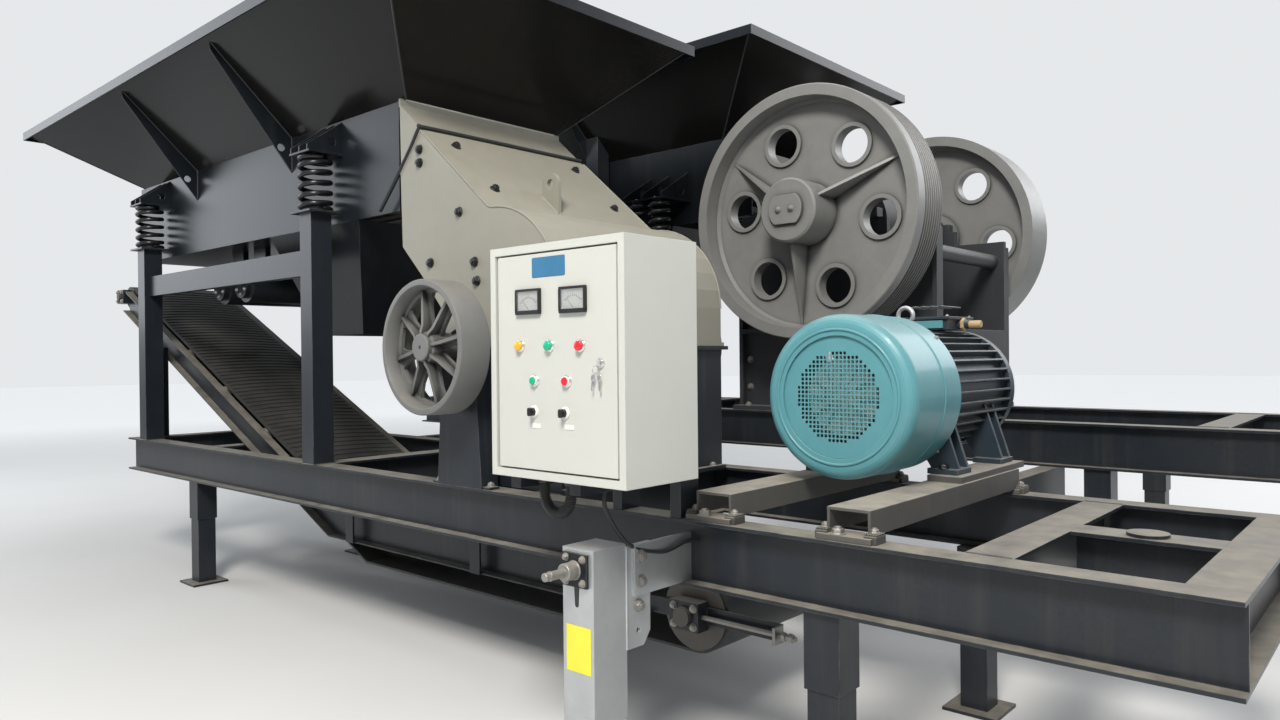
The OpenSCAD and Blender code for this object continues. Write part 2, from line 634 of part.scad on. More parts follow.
// Finned motor body with end shields and feet
body_y0 = cowl_y + 390;
body_y1 = body_y0 + 730;
fin_r = 270;
lug_w = 44;
lug_out = sqrt(pow(cowl_d / 2 - 4 - seat_gap, 2) - pow(lug_w / 2, 2));
module motor_body() color("#1f2a33") place() difference() {
    union() {
        translate([motor_x, 0, motor_z]) {
            along_y(body_y0, body_y1) {
                circle(r = 236, $fn = 96);
                for (a = [0:10:350]) rotate(a) translate([225, -4]) square([fin_r - 225, 8]);
            }
            for (a = [45:90:315]) rotate([0, a, 0]) box([230, body_y0, -lug_w / 2], [lug_out, body_y0 + 30,
                lug_w / 2]);
            along_y(body_y1, body_y1 + 45) circle(r = fin_r, $fn = 96);
            along_y(body_y1 + 45, body_y1 + 70) circle(r = 130);
        }
        for (s = [-1, 1], y = [body_y0 + 70, body_y0 + 540]) {
            x = motor_x + s * foot_x;
            box([x - 62, y - 70, deck_z + 130], [x + 62, y + 70, deck_z + 152]);
            for (t = [y - 36, y + 50]) along_y(t, t + 16) polygon([[x - s * 60, deck_z + 150],
                [x + s * 56, deck_z + 150], [motor_x + s * 222, motor_z - 30], [motor_x + s * 120,
                    motor_z - 180]]);
        }
    }
    rod_y(motor_x, motor_z, body_y0 - 1, body_y1 + 80, motor_shaft_r + bearing_gap);
    for (s = [-1, 1], y = [body_y0 + 70, body_y0 + 540])
        translate([motor_x + s * foot_x, y, deck_z + 129]) cylinder(h = 24, r = 14);
}

// Pressed fan cowl with a rounded front edge
module motor_cowl() color("#3f8f9c") place() {
    r = cowl_d / 2;
    e = 45;
    turned(motor_x, motor_z, cowl_y) polygon(concat([[238, 0]],
        [for (a = [90:-15:0]) [r - e + e * cos(a), e - e * sin(a)]], [[r, 420], [r - 4, 420]],
        [for (a = [0:15:90]) [r - e + (e - 4) * cos(a), e - (e - 4) * sin(a)]], [[242, 4], [242, 24],
            [238, 24]]));
}

// Perforated guard in the cowl's opening
module motor_grille() color("#3f8f9c") place() translate([motor_x, 0, motor_z]) {
    n = floor(183 / grille_pitch);
    along_y(cowl_y + 10, cowl_y + 13) difference() {
        circle(r = 238 - seat_gap, $fn = 96);
        for (i = [-n:n], j = [-n:n]) if (norm([i, j]) * grille_pitch < 176)
            translate([i, j] * grille_pitch) square(grille_hole, center = true);
    }
}

module terminal_box() color("#4a5052") place() {
    z = motor_z + fin_r;
    y = body_y0 + 380;
    box([motor_x - 120, y, z], [motor_x + 120, y + 250, z + 46]);
    box([motor_x - 132, y - 12, z + 46], [motor_x + 132, y + 262, z + 58]);
    translate([motor_x + 120, y + 125, z + 23]) rotate([0, 90, 0]) cylinder(h = 50, r = 20);
    translate([motor_x, body_y0 + 220, z + 60]) rotate([90, 0, 0]) rotate_extrude() translate([34, 0])
        circle(r = 9, $fn = 24);
    translate([motor_x, body_y0 + 220, z]) cylinder(h = 26, r = 20);
}

// Motor shaft with its cooling fan and its pulley
module motor_rotor() color("#9a9da0") place() {
    y1 = body_y1 + 90;
    rod_y(motor_x, motor_z, cowl_y + 60, y1 + 170, motor_shaft_r);
    translate([motor_x, 0, motor_z]) {
        along_y(cowl_y + 70, cowl_y + 130) {
            circle(r = 80);
            for (a = [0:60:300]) rotate(a) translate([60, -4]) square([150, 8]);
        }
        translate([0, y1, 0]) vee_pulley(150, 160, 5, motor_shaft_r - 1);
    }
}

// Slide rails with pads, the bar below the feet and the clamps
module motor_rails() color("#4b4a46") place() for (s = [-1, 1]) {
    x = motor_x + s * 279;
    w = 160;
    z = deck_z + 20;
    translate([x, 0, z]) along_y(-rail_y - 8, rail_y + 8)
        polygon([[-w / 2, 0], [-w / 2, 85], [w / 2, 85], [w / 2, 0], [w / 2 - 10, 0], [w / 2 - 10, 75],
            [10 - w / 2, 75], [10 - w / 2, 0]]);
    for (t = [-1, 1]) box([x - w / 2 - 20, t * rail_y - 50, deck_z], [x + w / 2 + 20, t * rail_y + 50, z]);
    box([x - 70, body_y0 - 40, z + 85], [x + 70, body_y0 + 660, deck_z + 130]);
}

// Jaw crusher frame: side plates with open bearing seats, heavier edges and a rear ledge
jaw_seat_r = 190;
jaw_x0 = 250;
jaw_x1 = 1757;
jaw_cut = jaw_axis_x - 300;
mouth_h = 100;
side_line = [[jaw_x0, jaw_deck], [jaw_x0, jaw_z + mouth_h + 10], [jaw_cut, jaw_z + mouth_h + 10], [jaw_cut,
    jaw_z],
    [jaw_axis_x + 330, jaw_z], [jaw_axis_x + 330, jaw_z - 104], [jaw_x1, jaw_z - 104], [jaw_x1, jaw_deck]];
module jaw_side() {
    y1 = jaw_w / 2;
    difference() {
        union() {
            along_y(y1 - jaw_t, y1) polygon(side_line);
            box([jaw_x0, y1 - 1, jaw_deck], [jaw_x1, rail_y + 30, jaw_deck + 30]);
            box([jaw_x0, y1, jaw_deck + 550], [jaw_x1, y1 + 50, jaw_deck + 580]);
            for (x = [jaw_x0, jaw_cut - 30, jaw_x1 - 30]) box([x, y1, jaw_deck], [x + 30, y1 + 50,
                jaw_deck + 1150]);
        }
        rod_y(jaw_axis_x, jaw_z, 0, jaw_w, jaw_seat_r + seat_gap);
    }
}
module jaw_side_plates() color("#26282a") place() translate([0, jaw_y, 0])
    for (s = [0, 1]) mirror([0, s, 0]) jaw_side();

module jaw_front_wall() color("#26282a") place() translate([0, jaw_y, 0]) {
    y = jaw_w / 2 - jaw_t;
    along_y(-y, y) polygon([[jaw_x0, jaw_deck], [jaw_x0, jaw_z + mouth_h], [jaw_x0 + 40, jaw_z + mouth_h],
        [jaw_x0 + 260, jaw_deck + 60], [jaw_x0 + 260, jaw_deck]]);
    for (i = [0:8]) translate([jaw_x0 + 40, (i - 4) * 98, jaw_z + mouth_h]) along_y(-26, 26)
        polygon([[0, 0], [32, 0], [252, 60 - jaw_axis_h - mouth_h], [220, 60 - jaw_axis_h - mouth_h]]);
}

toggle_z = jaw_deck + 330;
module jaw_rear_wall() color("#26282a") place() translate([0, jaw_y, 0]) {
    y = jaw_w / 2 - jaw_t;
    along_y(-y, y) polygon([[jaw_x1, toggle_z - 200], [jaw_x1, toggle_z + 220], [jaw_x1 - 60, toggle_z + 220],
        [jaw_x1 - 190, toggle_z + 60], [jaw_x1 - 190, toggle_z - 60], [jaw_x1 - 60, toggle_z - 200]]);
    rod_y(jaw_x1 - 90, jaw_z - 244, -y, y, 50);
}

// Swing jaw: bearing barrel, tapered body and a ribbed wear face
module swing_jaw() color("#3a3632") place() translate([0, jaw_y, 0]) difference() {
    y = jaw_face_w / 2;
    union() {
        rod_y(jaw_axis_x, jaw_z, -y, y, 270);
        along_y(-y, y) polygon([[jaw_axis_x - 268, jaw_z + 30], [jaw_x0 + 400, jaw_deck + 170],
            [jaw_x0 + 520, jaw_deck + 130], [jaw_axis_x + 30, toggle_z - 60], [jaw_axis_x + 30,
                toggle_z + 60],
            [jaw_axis_x + 264, jaw_z - 60]]);
        for (i = [0:8]) along_y((i - 4) * 98 - 26, (i - 4) * 98 + 26)
            polygon([[jaw_axis_x - 300, jaw_z + 30], [jaw_x0 + 370, jaw_deck + 175],
                [jaw_x0 + 400, jaw_deck + 170], [jaw_axis_x - 268, jaw_z + 30]]);
    }
    rod_y(jaw_axis_x, jaw_z, -jaw_w, jaw_w, jaw_shaft_d / 2 + bearing_gap);
}

module toggle_plate() color("#2f3133") place() translate([0, jaw_y, 0])
    box([jaw_axis_x + 30, -jaw_face_w / 2 + 40, toggle_z - 28], [jaw_x1 - 190, jaw_face_w / 2 - 40,
        toggle_z + 28]);

// Flanged bearing housings in the seats of the side plates
bearing_y0 = jaw_face_w / 2 + 8;
bearing_y1 = jaw_w / 2 + 130;
module bearing_housings() color("#303234") place() translate([0, jaw_y, 0]) for (s = [0, 1]) mirror([0, s, 0])
    difference() {
        union() {
            rod_y(jaw_axis_x, jaw_z, bearing_y0, bearing_y1, jaw_seat_r);
            box([jaw_axis_x - 280, jaw_w / 2 - jaw_t, jaw_z], [jaw_axis_x + 280, jaw_w / 2 + 40, jaw_z + 60]);
        }
        rod_y(jaw_axis_x, jaw_z, 0, jaw_w, jaw_shaft_d / 2 + bearing_gap);
    }

module flywheel_shaft() color("#6a6c6e") place() translate([0, jaw_y, 0]) {
    y = flywheel_span / 2 + shaft_out;
    rod_y(jaw_axis_x, jaw_z, -y, y, jaw_shaft_d / 2);
}

// Cast flywheel, outer face at zero and the crusher towards +y
module flywheel(n) {
    r = flywheel_d / 2;
    hub_r = 200;
    g0 = flywheel_w * 0.27;
    pitch = n > 0 ? (flywheel_w - g0) / n : 1;
    difference() {
        union() {
            rotate([-90, 0, 0]) rotate_extrude($fn = 128) polygon(concat(
                [[jaw_shaft_d / 2 + 0.1, -hub_out], [hub_r - 12, -hub_out], [hub_r, 12 - hub_out], [hub_r,
                    web_recess],
                [r - flywheel_rim - 20, web_recess], [r - flywheel_rim, web_recess - 20],
                [r - flywheel_rim, 0], [r - 6, 0], [r, 6]],
                n > 0 ? grooves(r, g0, pitch, 20, n) : [],
                [[r, flywheel_w], [r - flywheel_rim, flywheel_w],
                [r - flywheel_rim, web_recess + flywheel_web + 20],
                [r - flywheel_rim - 20, web_recess + flywheel_web], [hub_r, web_recess + flywheel_web],
                [hub_r, flywheel_w + 20], [jaw_shaft_d / 2 + 0.1, flywheel_w + 20]]));
            for (i = [0:flywheel_holes - 1]) rotate([0, i * 360 / flywheel_holes + 8, 0])
                rod_y(hole_circle_r, 0, web_recess - 18, web_recess + flywheel_web + 18, hole_r + 26);
            for (a = [-25, 95, 215]) rotate([0, a, 0]) translate([0, 0, -9]) linear_extrude(18)
                polygon([[hub_r - 4, -60], [hub_r - 4, web_recess + 1], [r - flywheel_rim + 1,
                    web_recess + 1],
                    [r - flywheel_rim - 60, web_recess - 10]]);
        }
        for (i = [0:flywheel_holes - 1]) rotate([0, i * 360 / flywheel_holes + 8, 0])
            rod_y(hole_circle_r, 0, 0, flywheel_w, hole_r);
    }
}
module grooved_flywheel() color("#4e5156") place()
    translate([jaw_axis_x, jaw_y - flywheel_span / 2, jaw_z]) flywheel(8);
module plain_flywheel() color("#4e5156") place()
    translate([jaw_axis_x, jaw_y + flywheel_span / 2, jaw_z]) mirror([0, 1, 0]) flywheel(0);

// Telescopic support jack with its crank, and the two drilled plates that fix it to the rail
jack_x = 1803;
module support_jack() color("#9a9fa2") place() {
    size = [150, 165];
    top = deck_z - 45;
    crank = [jack_x + 69, deck_z - 118];
    x1 = jack_x + size.x;
    y1 = jack_y + size.y;
    bolt_z = [for (i = [1:4]) top + 37 - i * 89];
    box([jack_x + 12, jack_y + 12, 14], [x1 - 12, y1 - 12, 320]);
    box([jack_x - 30, jack_y - 30, 0], [x1 + 30, y1 + 30, 14]);
    box([jack_x, jack_y, 320], [x1, y1, top]);
    box([crank.x - 58, jack_y - 10, crank.y - 58], [crank.x + 58, jack_y, crank.y + 58]);
    rod_y(crank.x, crank.y, jack_y - 60, jack_y - 10, 30);
    rod_y(crank.x, crank.y, jack_y - crank_len, jack_y - 60, 14);
    translate([x1 - 12, 0, 0]) along_x(12) difference() {
        polygon([[y1, top - 378], [y1, top - 8], [y1 + 126, top - 8], [y1 + 126, top - 330], [y1 + 90,
            top - 378]]);
        for (z = bolt_z) translate([y1 + 62, z]) circle(r = 11);
    }
    translate([x1, 0, 0]) along_x(12) difference() {
        polygon([[y1 + 30, deck_z - beam_h + flange_t], [y1 + 30, top - 8],
            [-rail_y - web_t / 2, top - 8], [-rail_y - web_t / 2, deck_z - beam_h + flange_t]]);
        for (z = [bolt_z[0], bolt_z[1]]) translate([y1 + 62, z]) circle(r = 11);
    }
}

// Run of the belt: radius points round both drums and the bends of the two strands, grown by g
tail = [1760, 520];
head = [-4657, 2161];
function belt_line(g) = let (rt = tail_d / 2 + g, rh = head_d / 2 + g, n = [sin(belt_rise), cos(belt_rise)],
        up = head + rh * n, low = head - rh * n, k = tan(belt_rise))
    concat([for (a = [90:-5:-90]) tail + rt * [cos(a), sin(a)]],
        [[low.x + (low.y - tail.y + rt) / k, tail.y - rt]],
        [for (a = [270:-5:90]) head + rh * [cos(a - belt_rise), sin(a - belt_rise)]],
        [[up.x + (up.y - tail.y - rt) / k, tail.y + rt]]);

module conveyor_belt() color("#1b1b1c") place() along_y(-belt_w / 2, belt_w / 2) difference() {
    polygon(belt_line(belt_t));
    polygon(belt_line(0));
}

// Level and sloping side channels, which meet at the bend, with the bearing blocks of both drums
channel_y = belt_w / 2 + 12;
bend_at = let (p = belt_line(0)) p[len(p) - 1] - [0, 10];
slope_foot = head + [40, 62];
module conveyor_frame() color("#26282a") place() for (s = [0, 1]) mirror([0, s, 0]) {
    web = 8;
    nose = [tail.x - 230, bend_at.y];
    cut = seat_gap / 2;
    for (run = [[nose, bend_at + [cut, 0], tail, 40], [bend_at - [cut, 0], slope_foot, head, 30]])
        difference() {
        union() {
            for (f = [[web, 0, channel_h], [60, 0, web], [60, channel_h - web, channel_h]])
                along_y(channel_y, channel_y + f[0]) polygon([run[0] - [0, f[1]], run[1] - [0, f[1]],
                    run[1] - [0, f[2]], run[0] - [0, f[2]]]);
            if (run[2] == tail) box([nose.x - 60, channel_y, tail.y - 35], [tail.x + 440, channel_y + web,
                tail.y + 35]);
            box([run[2].x - 75, channel_y, run[2].y - 60], [run[2].x + 75, channel_y + 70, run[2].y + 60]);
        }
        rod_y(run[2].x, run[2].y, 0, belt_w, run[3] + bearing_gap);
    }
}

// Hangers under the cross beams and a pair of struts that carry the side channels
module conveyor_hangers() color("#26282a") place() for (s = [0, 1]) mirror([0, s, 0]) {
    y = channel_y + 60;
    x = cross_x[0][0];
    for (c = [cross_x[0][2], cross_x[0][3], cross_x[0][4]])
        box([c - 40, y, bend_at.y - channel_h], [c + 40, y + 12, deck_z - beam_h]);
    box([x - 40, y, deck_z], [x + 40, y + 40, bend_at.y + (bend_at.x - x) * tan(belt_rise) - channel_h + 90]);
}

// Drums on their shafts and the rollers below the carrying strand
module conveyor_rollers() color("#3a3b3d") place() {
    y = belt_w / 2 + 6;
    line = belt_line(0);
    bend = line[len(line) - 1];
    r = 45;
    rod_y(tail.x, tail.y, -y, y, tail_d / 2 - seat_gap);
    rod_y(tail.x, tail.y, -channel_y - 90, channel_y + 90, 40);
    rod_y(head.x, head.y, -y, y, head_d / 2 - seat_gap);
    rod_y(head.x, head.y, -channel_y - 90, channel_y + 90, 30);
    for (d = [350:700:2500]) rod_y(bend.x + d, bend.y - r - seat_gap, -channel_y, channel_y, r);
    for (d = [350:700:3500]) let (c = bend + d * [-cos(belt_rise), sin(belt_rise)]
            - (r + seat_gap) * [sin(belt_rise), cos(belt_rise)])
        rod_y(c.x, c.y, -channel_y, channel_y, r);
}

front_rails();
front_cross_beams();
kingpin_beam();
front_legs();
rear_rails();
rear_cross_beams();
rear_legs();
tie_beams();
feeder_posts();
post_braces();
feeder_springs();
feeder_brackets();
feeder_trough();
grizzly_bars();
vibrators();
fines_chutes();
hopper_walls();
rear_hopper_walls();
hopper_rims();
hopper_fins();
hopper_props();
rear_posts();
rear_springs();
rear_brackets();
rear_trough();
housing_near_side();
housing_far_side();
housing_cover();
housing_back();
lower_housing();
rotor_pedestals();
rotor_shaft();
spoked_wheel();
rotor_pulley();
cabinet_box();
cabinet_door();
door_meters();
door_controls();
cabinet_bracket();
conduit_bend();
motor_body();
motor_cowl();
motor_grille();
terminal_box();
motor_rotor();
motor_rails();
jaw_side_plates();
jaw_front_wall();
jaw_rear_wall();
swing_jaw();
toggle_plate();
bearing_housings();
flywheel_shaft();
grooved_flywheel();
plain_flywheel();
support_jack();
conveyor_frame();
conveyor_hangers();
conveyor_belt();
conveyor_rollers();
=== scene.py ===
"""Looks of a jaw and hammer crushing plant, laid out as an add-on and run as a script."""

import json
import math

import bmesh
import bpy
import numpy as np
from bpy.props import FloatProperty, FloatVectorProperty, IntProperty, PointerProperty
from mathutils import Matrix, Vector


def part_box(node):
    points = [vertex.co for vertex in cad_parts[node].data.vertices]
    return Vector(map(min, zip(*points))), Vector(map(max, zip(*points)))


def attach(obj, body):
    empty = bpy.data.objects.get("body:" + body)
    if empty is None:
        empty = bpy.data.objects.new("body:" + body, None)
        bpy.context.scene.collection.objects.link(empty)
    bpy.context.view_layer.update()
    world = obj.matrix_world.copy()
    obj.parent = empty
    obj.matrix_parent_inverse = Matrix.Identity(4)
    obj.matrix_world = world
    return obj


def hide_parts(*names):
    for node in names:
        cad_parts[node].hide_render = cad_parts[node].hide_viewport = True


bl_info = {
    "name": "Crushing plant looks",
    "version": (1, 0, 0),
    "blender": (4, 5, 0),
    "location": "View3D > Sidebar > Plant",
    "description": "Finishes, fasteners and fittings of a crushing plant around its frame",
    "category": "Object",
}

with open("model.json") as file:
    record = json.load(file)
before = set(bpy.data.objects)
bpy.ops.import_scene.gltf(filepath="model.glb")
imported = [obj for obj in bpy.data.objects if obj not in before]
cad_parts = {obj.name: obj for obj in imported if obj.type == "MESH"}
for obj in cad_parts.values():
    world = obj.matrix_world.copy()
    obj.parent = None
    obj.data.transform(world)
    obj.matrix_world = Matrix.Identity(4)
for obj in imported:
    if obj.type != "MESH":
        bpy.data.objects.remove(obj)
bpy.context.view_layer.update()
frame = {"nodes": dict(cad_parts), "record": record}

MM = 0.001
TAU = 2 * math.pi
X, Y, Z = np.eye(3)


def centre_of(node):
    """Middle of a node's box."""
    lo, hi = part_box(node)
    return np.array((lo + hi) / 2)


def corner_low(node):
    """Corner of a node's box where X, Y and Z are least."""
    return np.array(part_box(node)[0])


def corner_high(node):
    """Corner of a node's box where X, Y and Z are greatest."""
    return np.array(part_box(node)[1])


# Middles of the two chassis, from which the fittings below are measured, and the height of the deck
FRONT = centre_of("front_rails") * (1, 1, 0)
REAR = centre_of("rear_rails") * (1, 1, 0) + Z * (corner_high("rear_rails")[2] - corner_high("front_rails")[2])
DECK = corner_high("front_rails")[2]


def at(x, y, z):
    """A place measured from the middle of the front chassis, in the row frame."""
    return FRONT + np.array([x, y, z])


def rear_at(x, y, z):
    """The same measure for the rear chassis."""
    return REAR + np.array([x, y, z])


# Half the distance between the middles of a chassis's two rails
RAIL_Y = 0.6785
# The two lines: how a place is measured, where the spring posts stand, and where the cross beams lie
LINES = [(at, (-3.405, -0.845), (-3.66, -2.40, -0.845, 0.375, 1.085, 3.07)),
         (rear_at, (-3.405, -0.605), (-3.66, -2.126, -0.845, 0.175, 1.45, 3.07))]


# Arrays of points and faces

def grid_faces(rows, cols, wrap_rows=False, wrap_cols=False):
    """Quads of a grid: row i and column j join rows i, i + 1 and columns j, j + 1."""
    i = np.arange(rows if wrap_rows else rows - 1)[:, None]
    j = np.arange(cols if wrap_cols else cols - 1)[None, :]
    i2, j2 = (i + 1) % rows, (j + 1) % cols
    quads = np.stack([i * cols + j, i * cols + j2, i2 * cols + j2, i2 * cols + j], -1)
    return quads.reshape(-1, 4).tolist()


def lathe(profile, steps=32):
    """Radius r and height h turned round Z: (r cos t, r sin t, h), with t over one full turn."""
    p = np.asarray(profile, float)
    t = np.linspace(0, TAU, steps, endpoint=False)
    r, h = p[:, :1], p[:, 1:]
    points = np.stack([r * np.cos(t), r * np.sin(t), h + 0 * t], -1)
    return points.reshape(-1, 3), grid_faces(len(p), steps, wrap_cols=True)


def loft(sections):
    """A stack of closed sections of equal length, whose ends close on their own middles."""
    s = np.asarray(sections, float)
    first = np.repeat(s[:1].mean(1, keepdims=True), s.shape[1], 1)
    last = np.repeat(s[-1:].mean(1, keepdims=True), s.shape[1], 1)
    s = np.concatenate([first, s, last])
    return s.reshape(-1, 3), grid_faces(s.shape[0], s.shape[1], wrap_cols=True)


def round_rect(width, height, radius, steps=5):
    """Outline of a rectangle whose corners are arcs: corner centre plus radius times (cos t, sin t)."""
    t = np.linspace(0, math.pi / 2, steps)
    cx, cy = width / 2 - radius, height / 2 - radius
    quarters = [(cx, cy, 0), (-cx, cy, 1), (-cx, -cy, 2), (cx, -cy, 3)]
    arcs = [np.stack([x + radius * np.cos(t + k * math.pi / 2), y + radius * np.sin(t + k * math.pi / 2)], -1)
            for x, y, k in quarters]
    return np.concatenate(arcs)


def raised(outline, depth, edge):
    """An outline carried along Z from 0 to depth, drawn in by edge over the last stretch at each end."""
    o = np.asarray(outline, float)
    shrink = 1 - edge / np.abs(o).max()
    rows = [(shrink, 0), (1, edge), (1, depth - edge), (shrink, depth)]
    return loft([np.column_stack([o * k, np.full(len(o), h)]) for k, h in rows])


def brick(lo, hi, edge=1.5 * MM):
    """A box between two corners with its edges drawn in."""
    lo, hi = np.asarray(lo, float), np.asarray(hi, float)
    x, y = (hi - lo)[:2] / 2
    rows = [(edge, 0), (0, edge), (0, hi[2] - lo[2] - edge), (edge, hi[2] - lo[2])]
    middle = [(lo[0] + hi[0]) / 2, (lo[1] + hi[1]) / 2, lo[2]]
    return loft([np.array([[a * (x - d), b * (y - d), h] for a, b in ((1, 1), (-1, 1), (-1, -1), (1, -1))]) + middle
                 for d, h in rows])


def slab(outline, low, high):
    """A flat outline in X and Y carried along Z from low to high."""
    o = np.asarray(outline, float)
    return loft([np.column_stack([o, np.full(len(o), h)]) for h in (low, high)])


def ngon(sides, radius, turn=0.0):
    """Corners of a regular polygon: radius times (cos, sin) at equal steps."""
    t = np.arange(sides) * TAU / sides + turn
    return radius * np.stack([np.cos(t), np.sin(t)], -1)


def tube(path, radius, sides=12, closed=False):
    """Circles of the given radius carried along a path, on axes turned as little as possible."""
    p = np.asarray(path, float)
    n = len(p)
    tangent = np.gradient(p, axis=0)
    if closed:
        tangent = np.roll(p, -1, 0) - np.roll(p, 1, 0)
    tangent /= np.linalg.norm(tangent, axis=1, keepdims=True)
    side = np.cross(tangent[0], Z if abs(tangent[0][2]) < 0.9 else X)
    axes = []
    for d in tangent:
        side = side - d * side.dot(d)
        side /= np.linalg.norm(side)
        axes.append(side)
    u = np.array(axes)[:, None]
    v = np.cross(tangent, u[:, 0])[:, None]
    t = np.linspace(0, TAU, sides, endpoint=False)[None, :, None]
    r = np.broadcast_to(np.asarray(radius, float), (n,))[:, None, None]
    rings = p[:, None] + r * (np.cos(t) * u + np.sin(t) * v)
    if closed:
        return rings.reshape(-1, 3), grid_faces(n, sides, wrap_rows=True, wrap_cols=True)
    return loft(rings)


def hoop(radius, height, wide, high, steps):
    """A ring turned from an oval: (radius + wide cos a, height + high sin a), with a over one full turn."""
    a = np.radians(np.arange(0, 361, 30))
    return lathe(np.stack([radius + wide * np.cos(a), height + high * np.sin(a)], -1), steps)


def ray(angle):
    """Unit vector (cos a, 0, sin a) in the upright plane of X and Z, or a row of them for several angles."""
    return np.stack([np.cos(angle), 0 * np.asarray(angle), np.sin(angle)], -1)


def run_along(path):
    """Distance of each point of a path from its start, measured along it."""
    return np.concatenate([[0], np.cumsum(np.linalg.norm(np.diff(path, axis=0), axis=1))])


def resampled(path, distances):
    """Points at the given distances along a path of straight stretches."""
    run = run_along(path)
    return np.stack([np.interp(distances, run, path[:, k]) for k in range(3)], -1)


def smooth_path(points, count):
    """A curve through given points, by the Catmull-Rom formula."""
    p = np.asarray(points, float)
    p = np.vstack([2 * p[0] - p[1], p, 2 * p[-1] - p[-2]])
    s = np.linspace(0, len(p) - 3, count)
    k = np.minimum(s.astype(int), len(p) - 4)
    f = (s - k)[:, None]
    a, b, c, d = p[k], p[k + 1], p[k + 2], p[k + 3]
    return 0.5 * (2 * b + (c - a) * f + (2 * a - 5 * b + 4 * c - d) * f ** 2 + (3 * b - a - 3 * c + d) * f ** 3)


def facing(direction, place=(0, 0, 0), turn=0.0):
    """A 4x4 matrix that takes +Z to a direction and the origin to a place, after a turn about +Z."""
    z = np.asarray(direction, float)
    z = z / np.linalg.norm(z)
    x = np.cross(Y if abs(z[1]) < 0.9 else X, z)
    x /= np.linalg.norm(x)
    y = np.cross(z, x)
    m = np.eye(4)
    m[:3, 0] = x * math.cos(turn) + y * math.sin(turn)
    m[:3, 1] = y * math.cos(turn) - x * math.sin(turn)
    m[:3, 2] = z
    m[:3, 3] = place
    return m


def placed(part, matrix):
    """A part's points taken through a 4x4 matrix."""
    points, faces = part
    return points @ matrix[:3, :3].T + matrix[:3, 3], faces


def joined(parts):
    """Several parts as one, each part's face numbers moved on by the points before it."""
    points, faces, start = [], [], 0
    for p, f in parts:
        points.append(p)
        faces += [[i + start for i in face] for face in f]
        start += len(p)
    return np.concatenate(points), faces


def make(name, part, material, body="root", sharp=35.0, replaces=()):
    """One closed mesh object from a part, with its doubles merged and its faces turned outwards."""
    mesh = bpy.data.meshes.new(name)
    mesh.from_pydata(part[0].tolist(), [], part[1])
    bm = bmesh.new()
    bm.from_mesh(mesh)
    bmesh.ops.remove_doubles(bm, verts=bm.verts, dist=1e-6)
    bmesh.ops.dissolve_degenerate(bm, edges=bm.edges, dist=1e-7)
    bmesh.ops.recalc_face_normals(bm, faces=bm.faces)
    bm.to_mesh(mesh)
    bm.free()
    mesh.shade_smooth()
    mesh.set_sharp_from_angle(angle=math.radians(sharp))
    mesh.materials.append(material)
    obj = bpy.data.objects.new(name, mesh)
    bpy.context.scene.collection.objects.link(obj)
    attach(obj, body)
    if replaces:
        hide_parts(*replaces)
    return obj


# Fasteners and welds

# Shares of a fastener's thread size
HEAD_ACROSS, HEAD_HEIGHT, HEAD_SEAT = 1.55, 0.65, 0.16
WASHER_OUTER, WASHER_BORE, WASHER_THICK = 1.1, 0.4, 0.18


def hex_head(across, height):
    """A hexagon head: sections of six points, rounded off at the top."""
    r = across / math.sqrt(3)
    rows = [(1, 0), (1, height * 0.8), (0.93, height * 0.95), (0.78, height)]
    return loft([np.column_stack([ngon(6, r * k), np.full(6, h)]) for k, h in rows])


def washer(outer, inner, thick):
    """A flat ring turned from its section, with its outer edge cut off."""
    return lathe([(inner, 0), (outer, 0), (outer, thick * 0.7), (outer - thick * 0.3, thick), (inner, thick),
                  (inner, 0)], 20)


def bolt(size):
    """Washer, hexagon head and stub of thread, for a thread of the given size."""
    head = placed(hex_head(size * HEAD_ACROSS, size * HEAD_HEIGHT), facing(Z, (0, 0, size * HEAD_SEAT)))
    stub = lathe([(0, 0), (size * 0.42, 0), (size * 0.5, size * 1.05), (0, size * 1.1)], 12)
    return joined([washer(size * WASHER_OUTER, size * WASHER_BORE, size * WASHER_THICK), head, stub])


def bolts(name, places, direction, size, material, body="root"):
    """Bolts with washers at several places on a face, each head turned on by the same angle from the last."""
    one, head_turn = bolt(size), 0.7
    heads = [placed(one, facing(direction, p, k * head_turn)) for k, p in enumerate(places)]
    make(name, joined(heads), material, body)


def weld(points, radius, pitch=6 * MM):
    """A bead along straight stretches: its radius r grows and shrinks as r (1 + ripple sin(2 pi d / pitch))."""
    p, ripple = np.asarray(points, float), 0.16
    length = run_along(p)[-1]
    d = np.linspace(0, length, max(8, int(length / pitch * 2)))
    return tube(resampled(p, d), radius * (1 + ripple * np.sin(d * TAU / pitch)), 6)


def rect_loop(lo, hi, axis):
    """The four corners and the first again of a rectangle that lies across an axis, at its low side."""
    a, b = [k for k in range(3) if k != axis]
    corners = np.repeat([np.asarray(lo, float)], 5, 0)
    corners[1:3, a] = hi[a]
    corners[2:4, b] = hi[b]
    return corners


# Shader groups and finishes

def link(tree, source, target):
    """Joins an output socket to an input socket."""
    tree.links.new(source, target)


def shade_node(tree, kind, **values):
    """A shader node with its sockets set by position (n_ and a number) and its settings set by name."""
    made = tree.nodes.new(kind)
    for key, value in values.items():
        if key.startswith("n_"):
            made.inputs[int(key[2:])].default_value = value
        else:
            setattr(made, key, value)
    return made


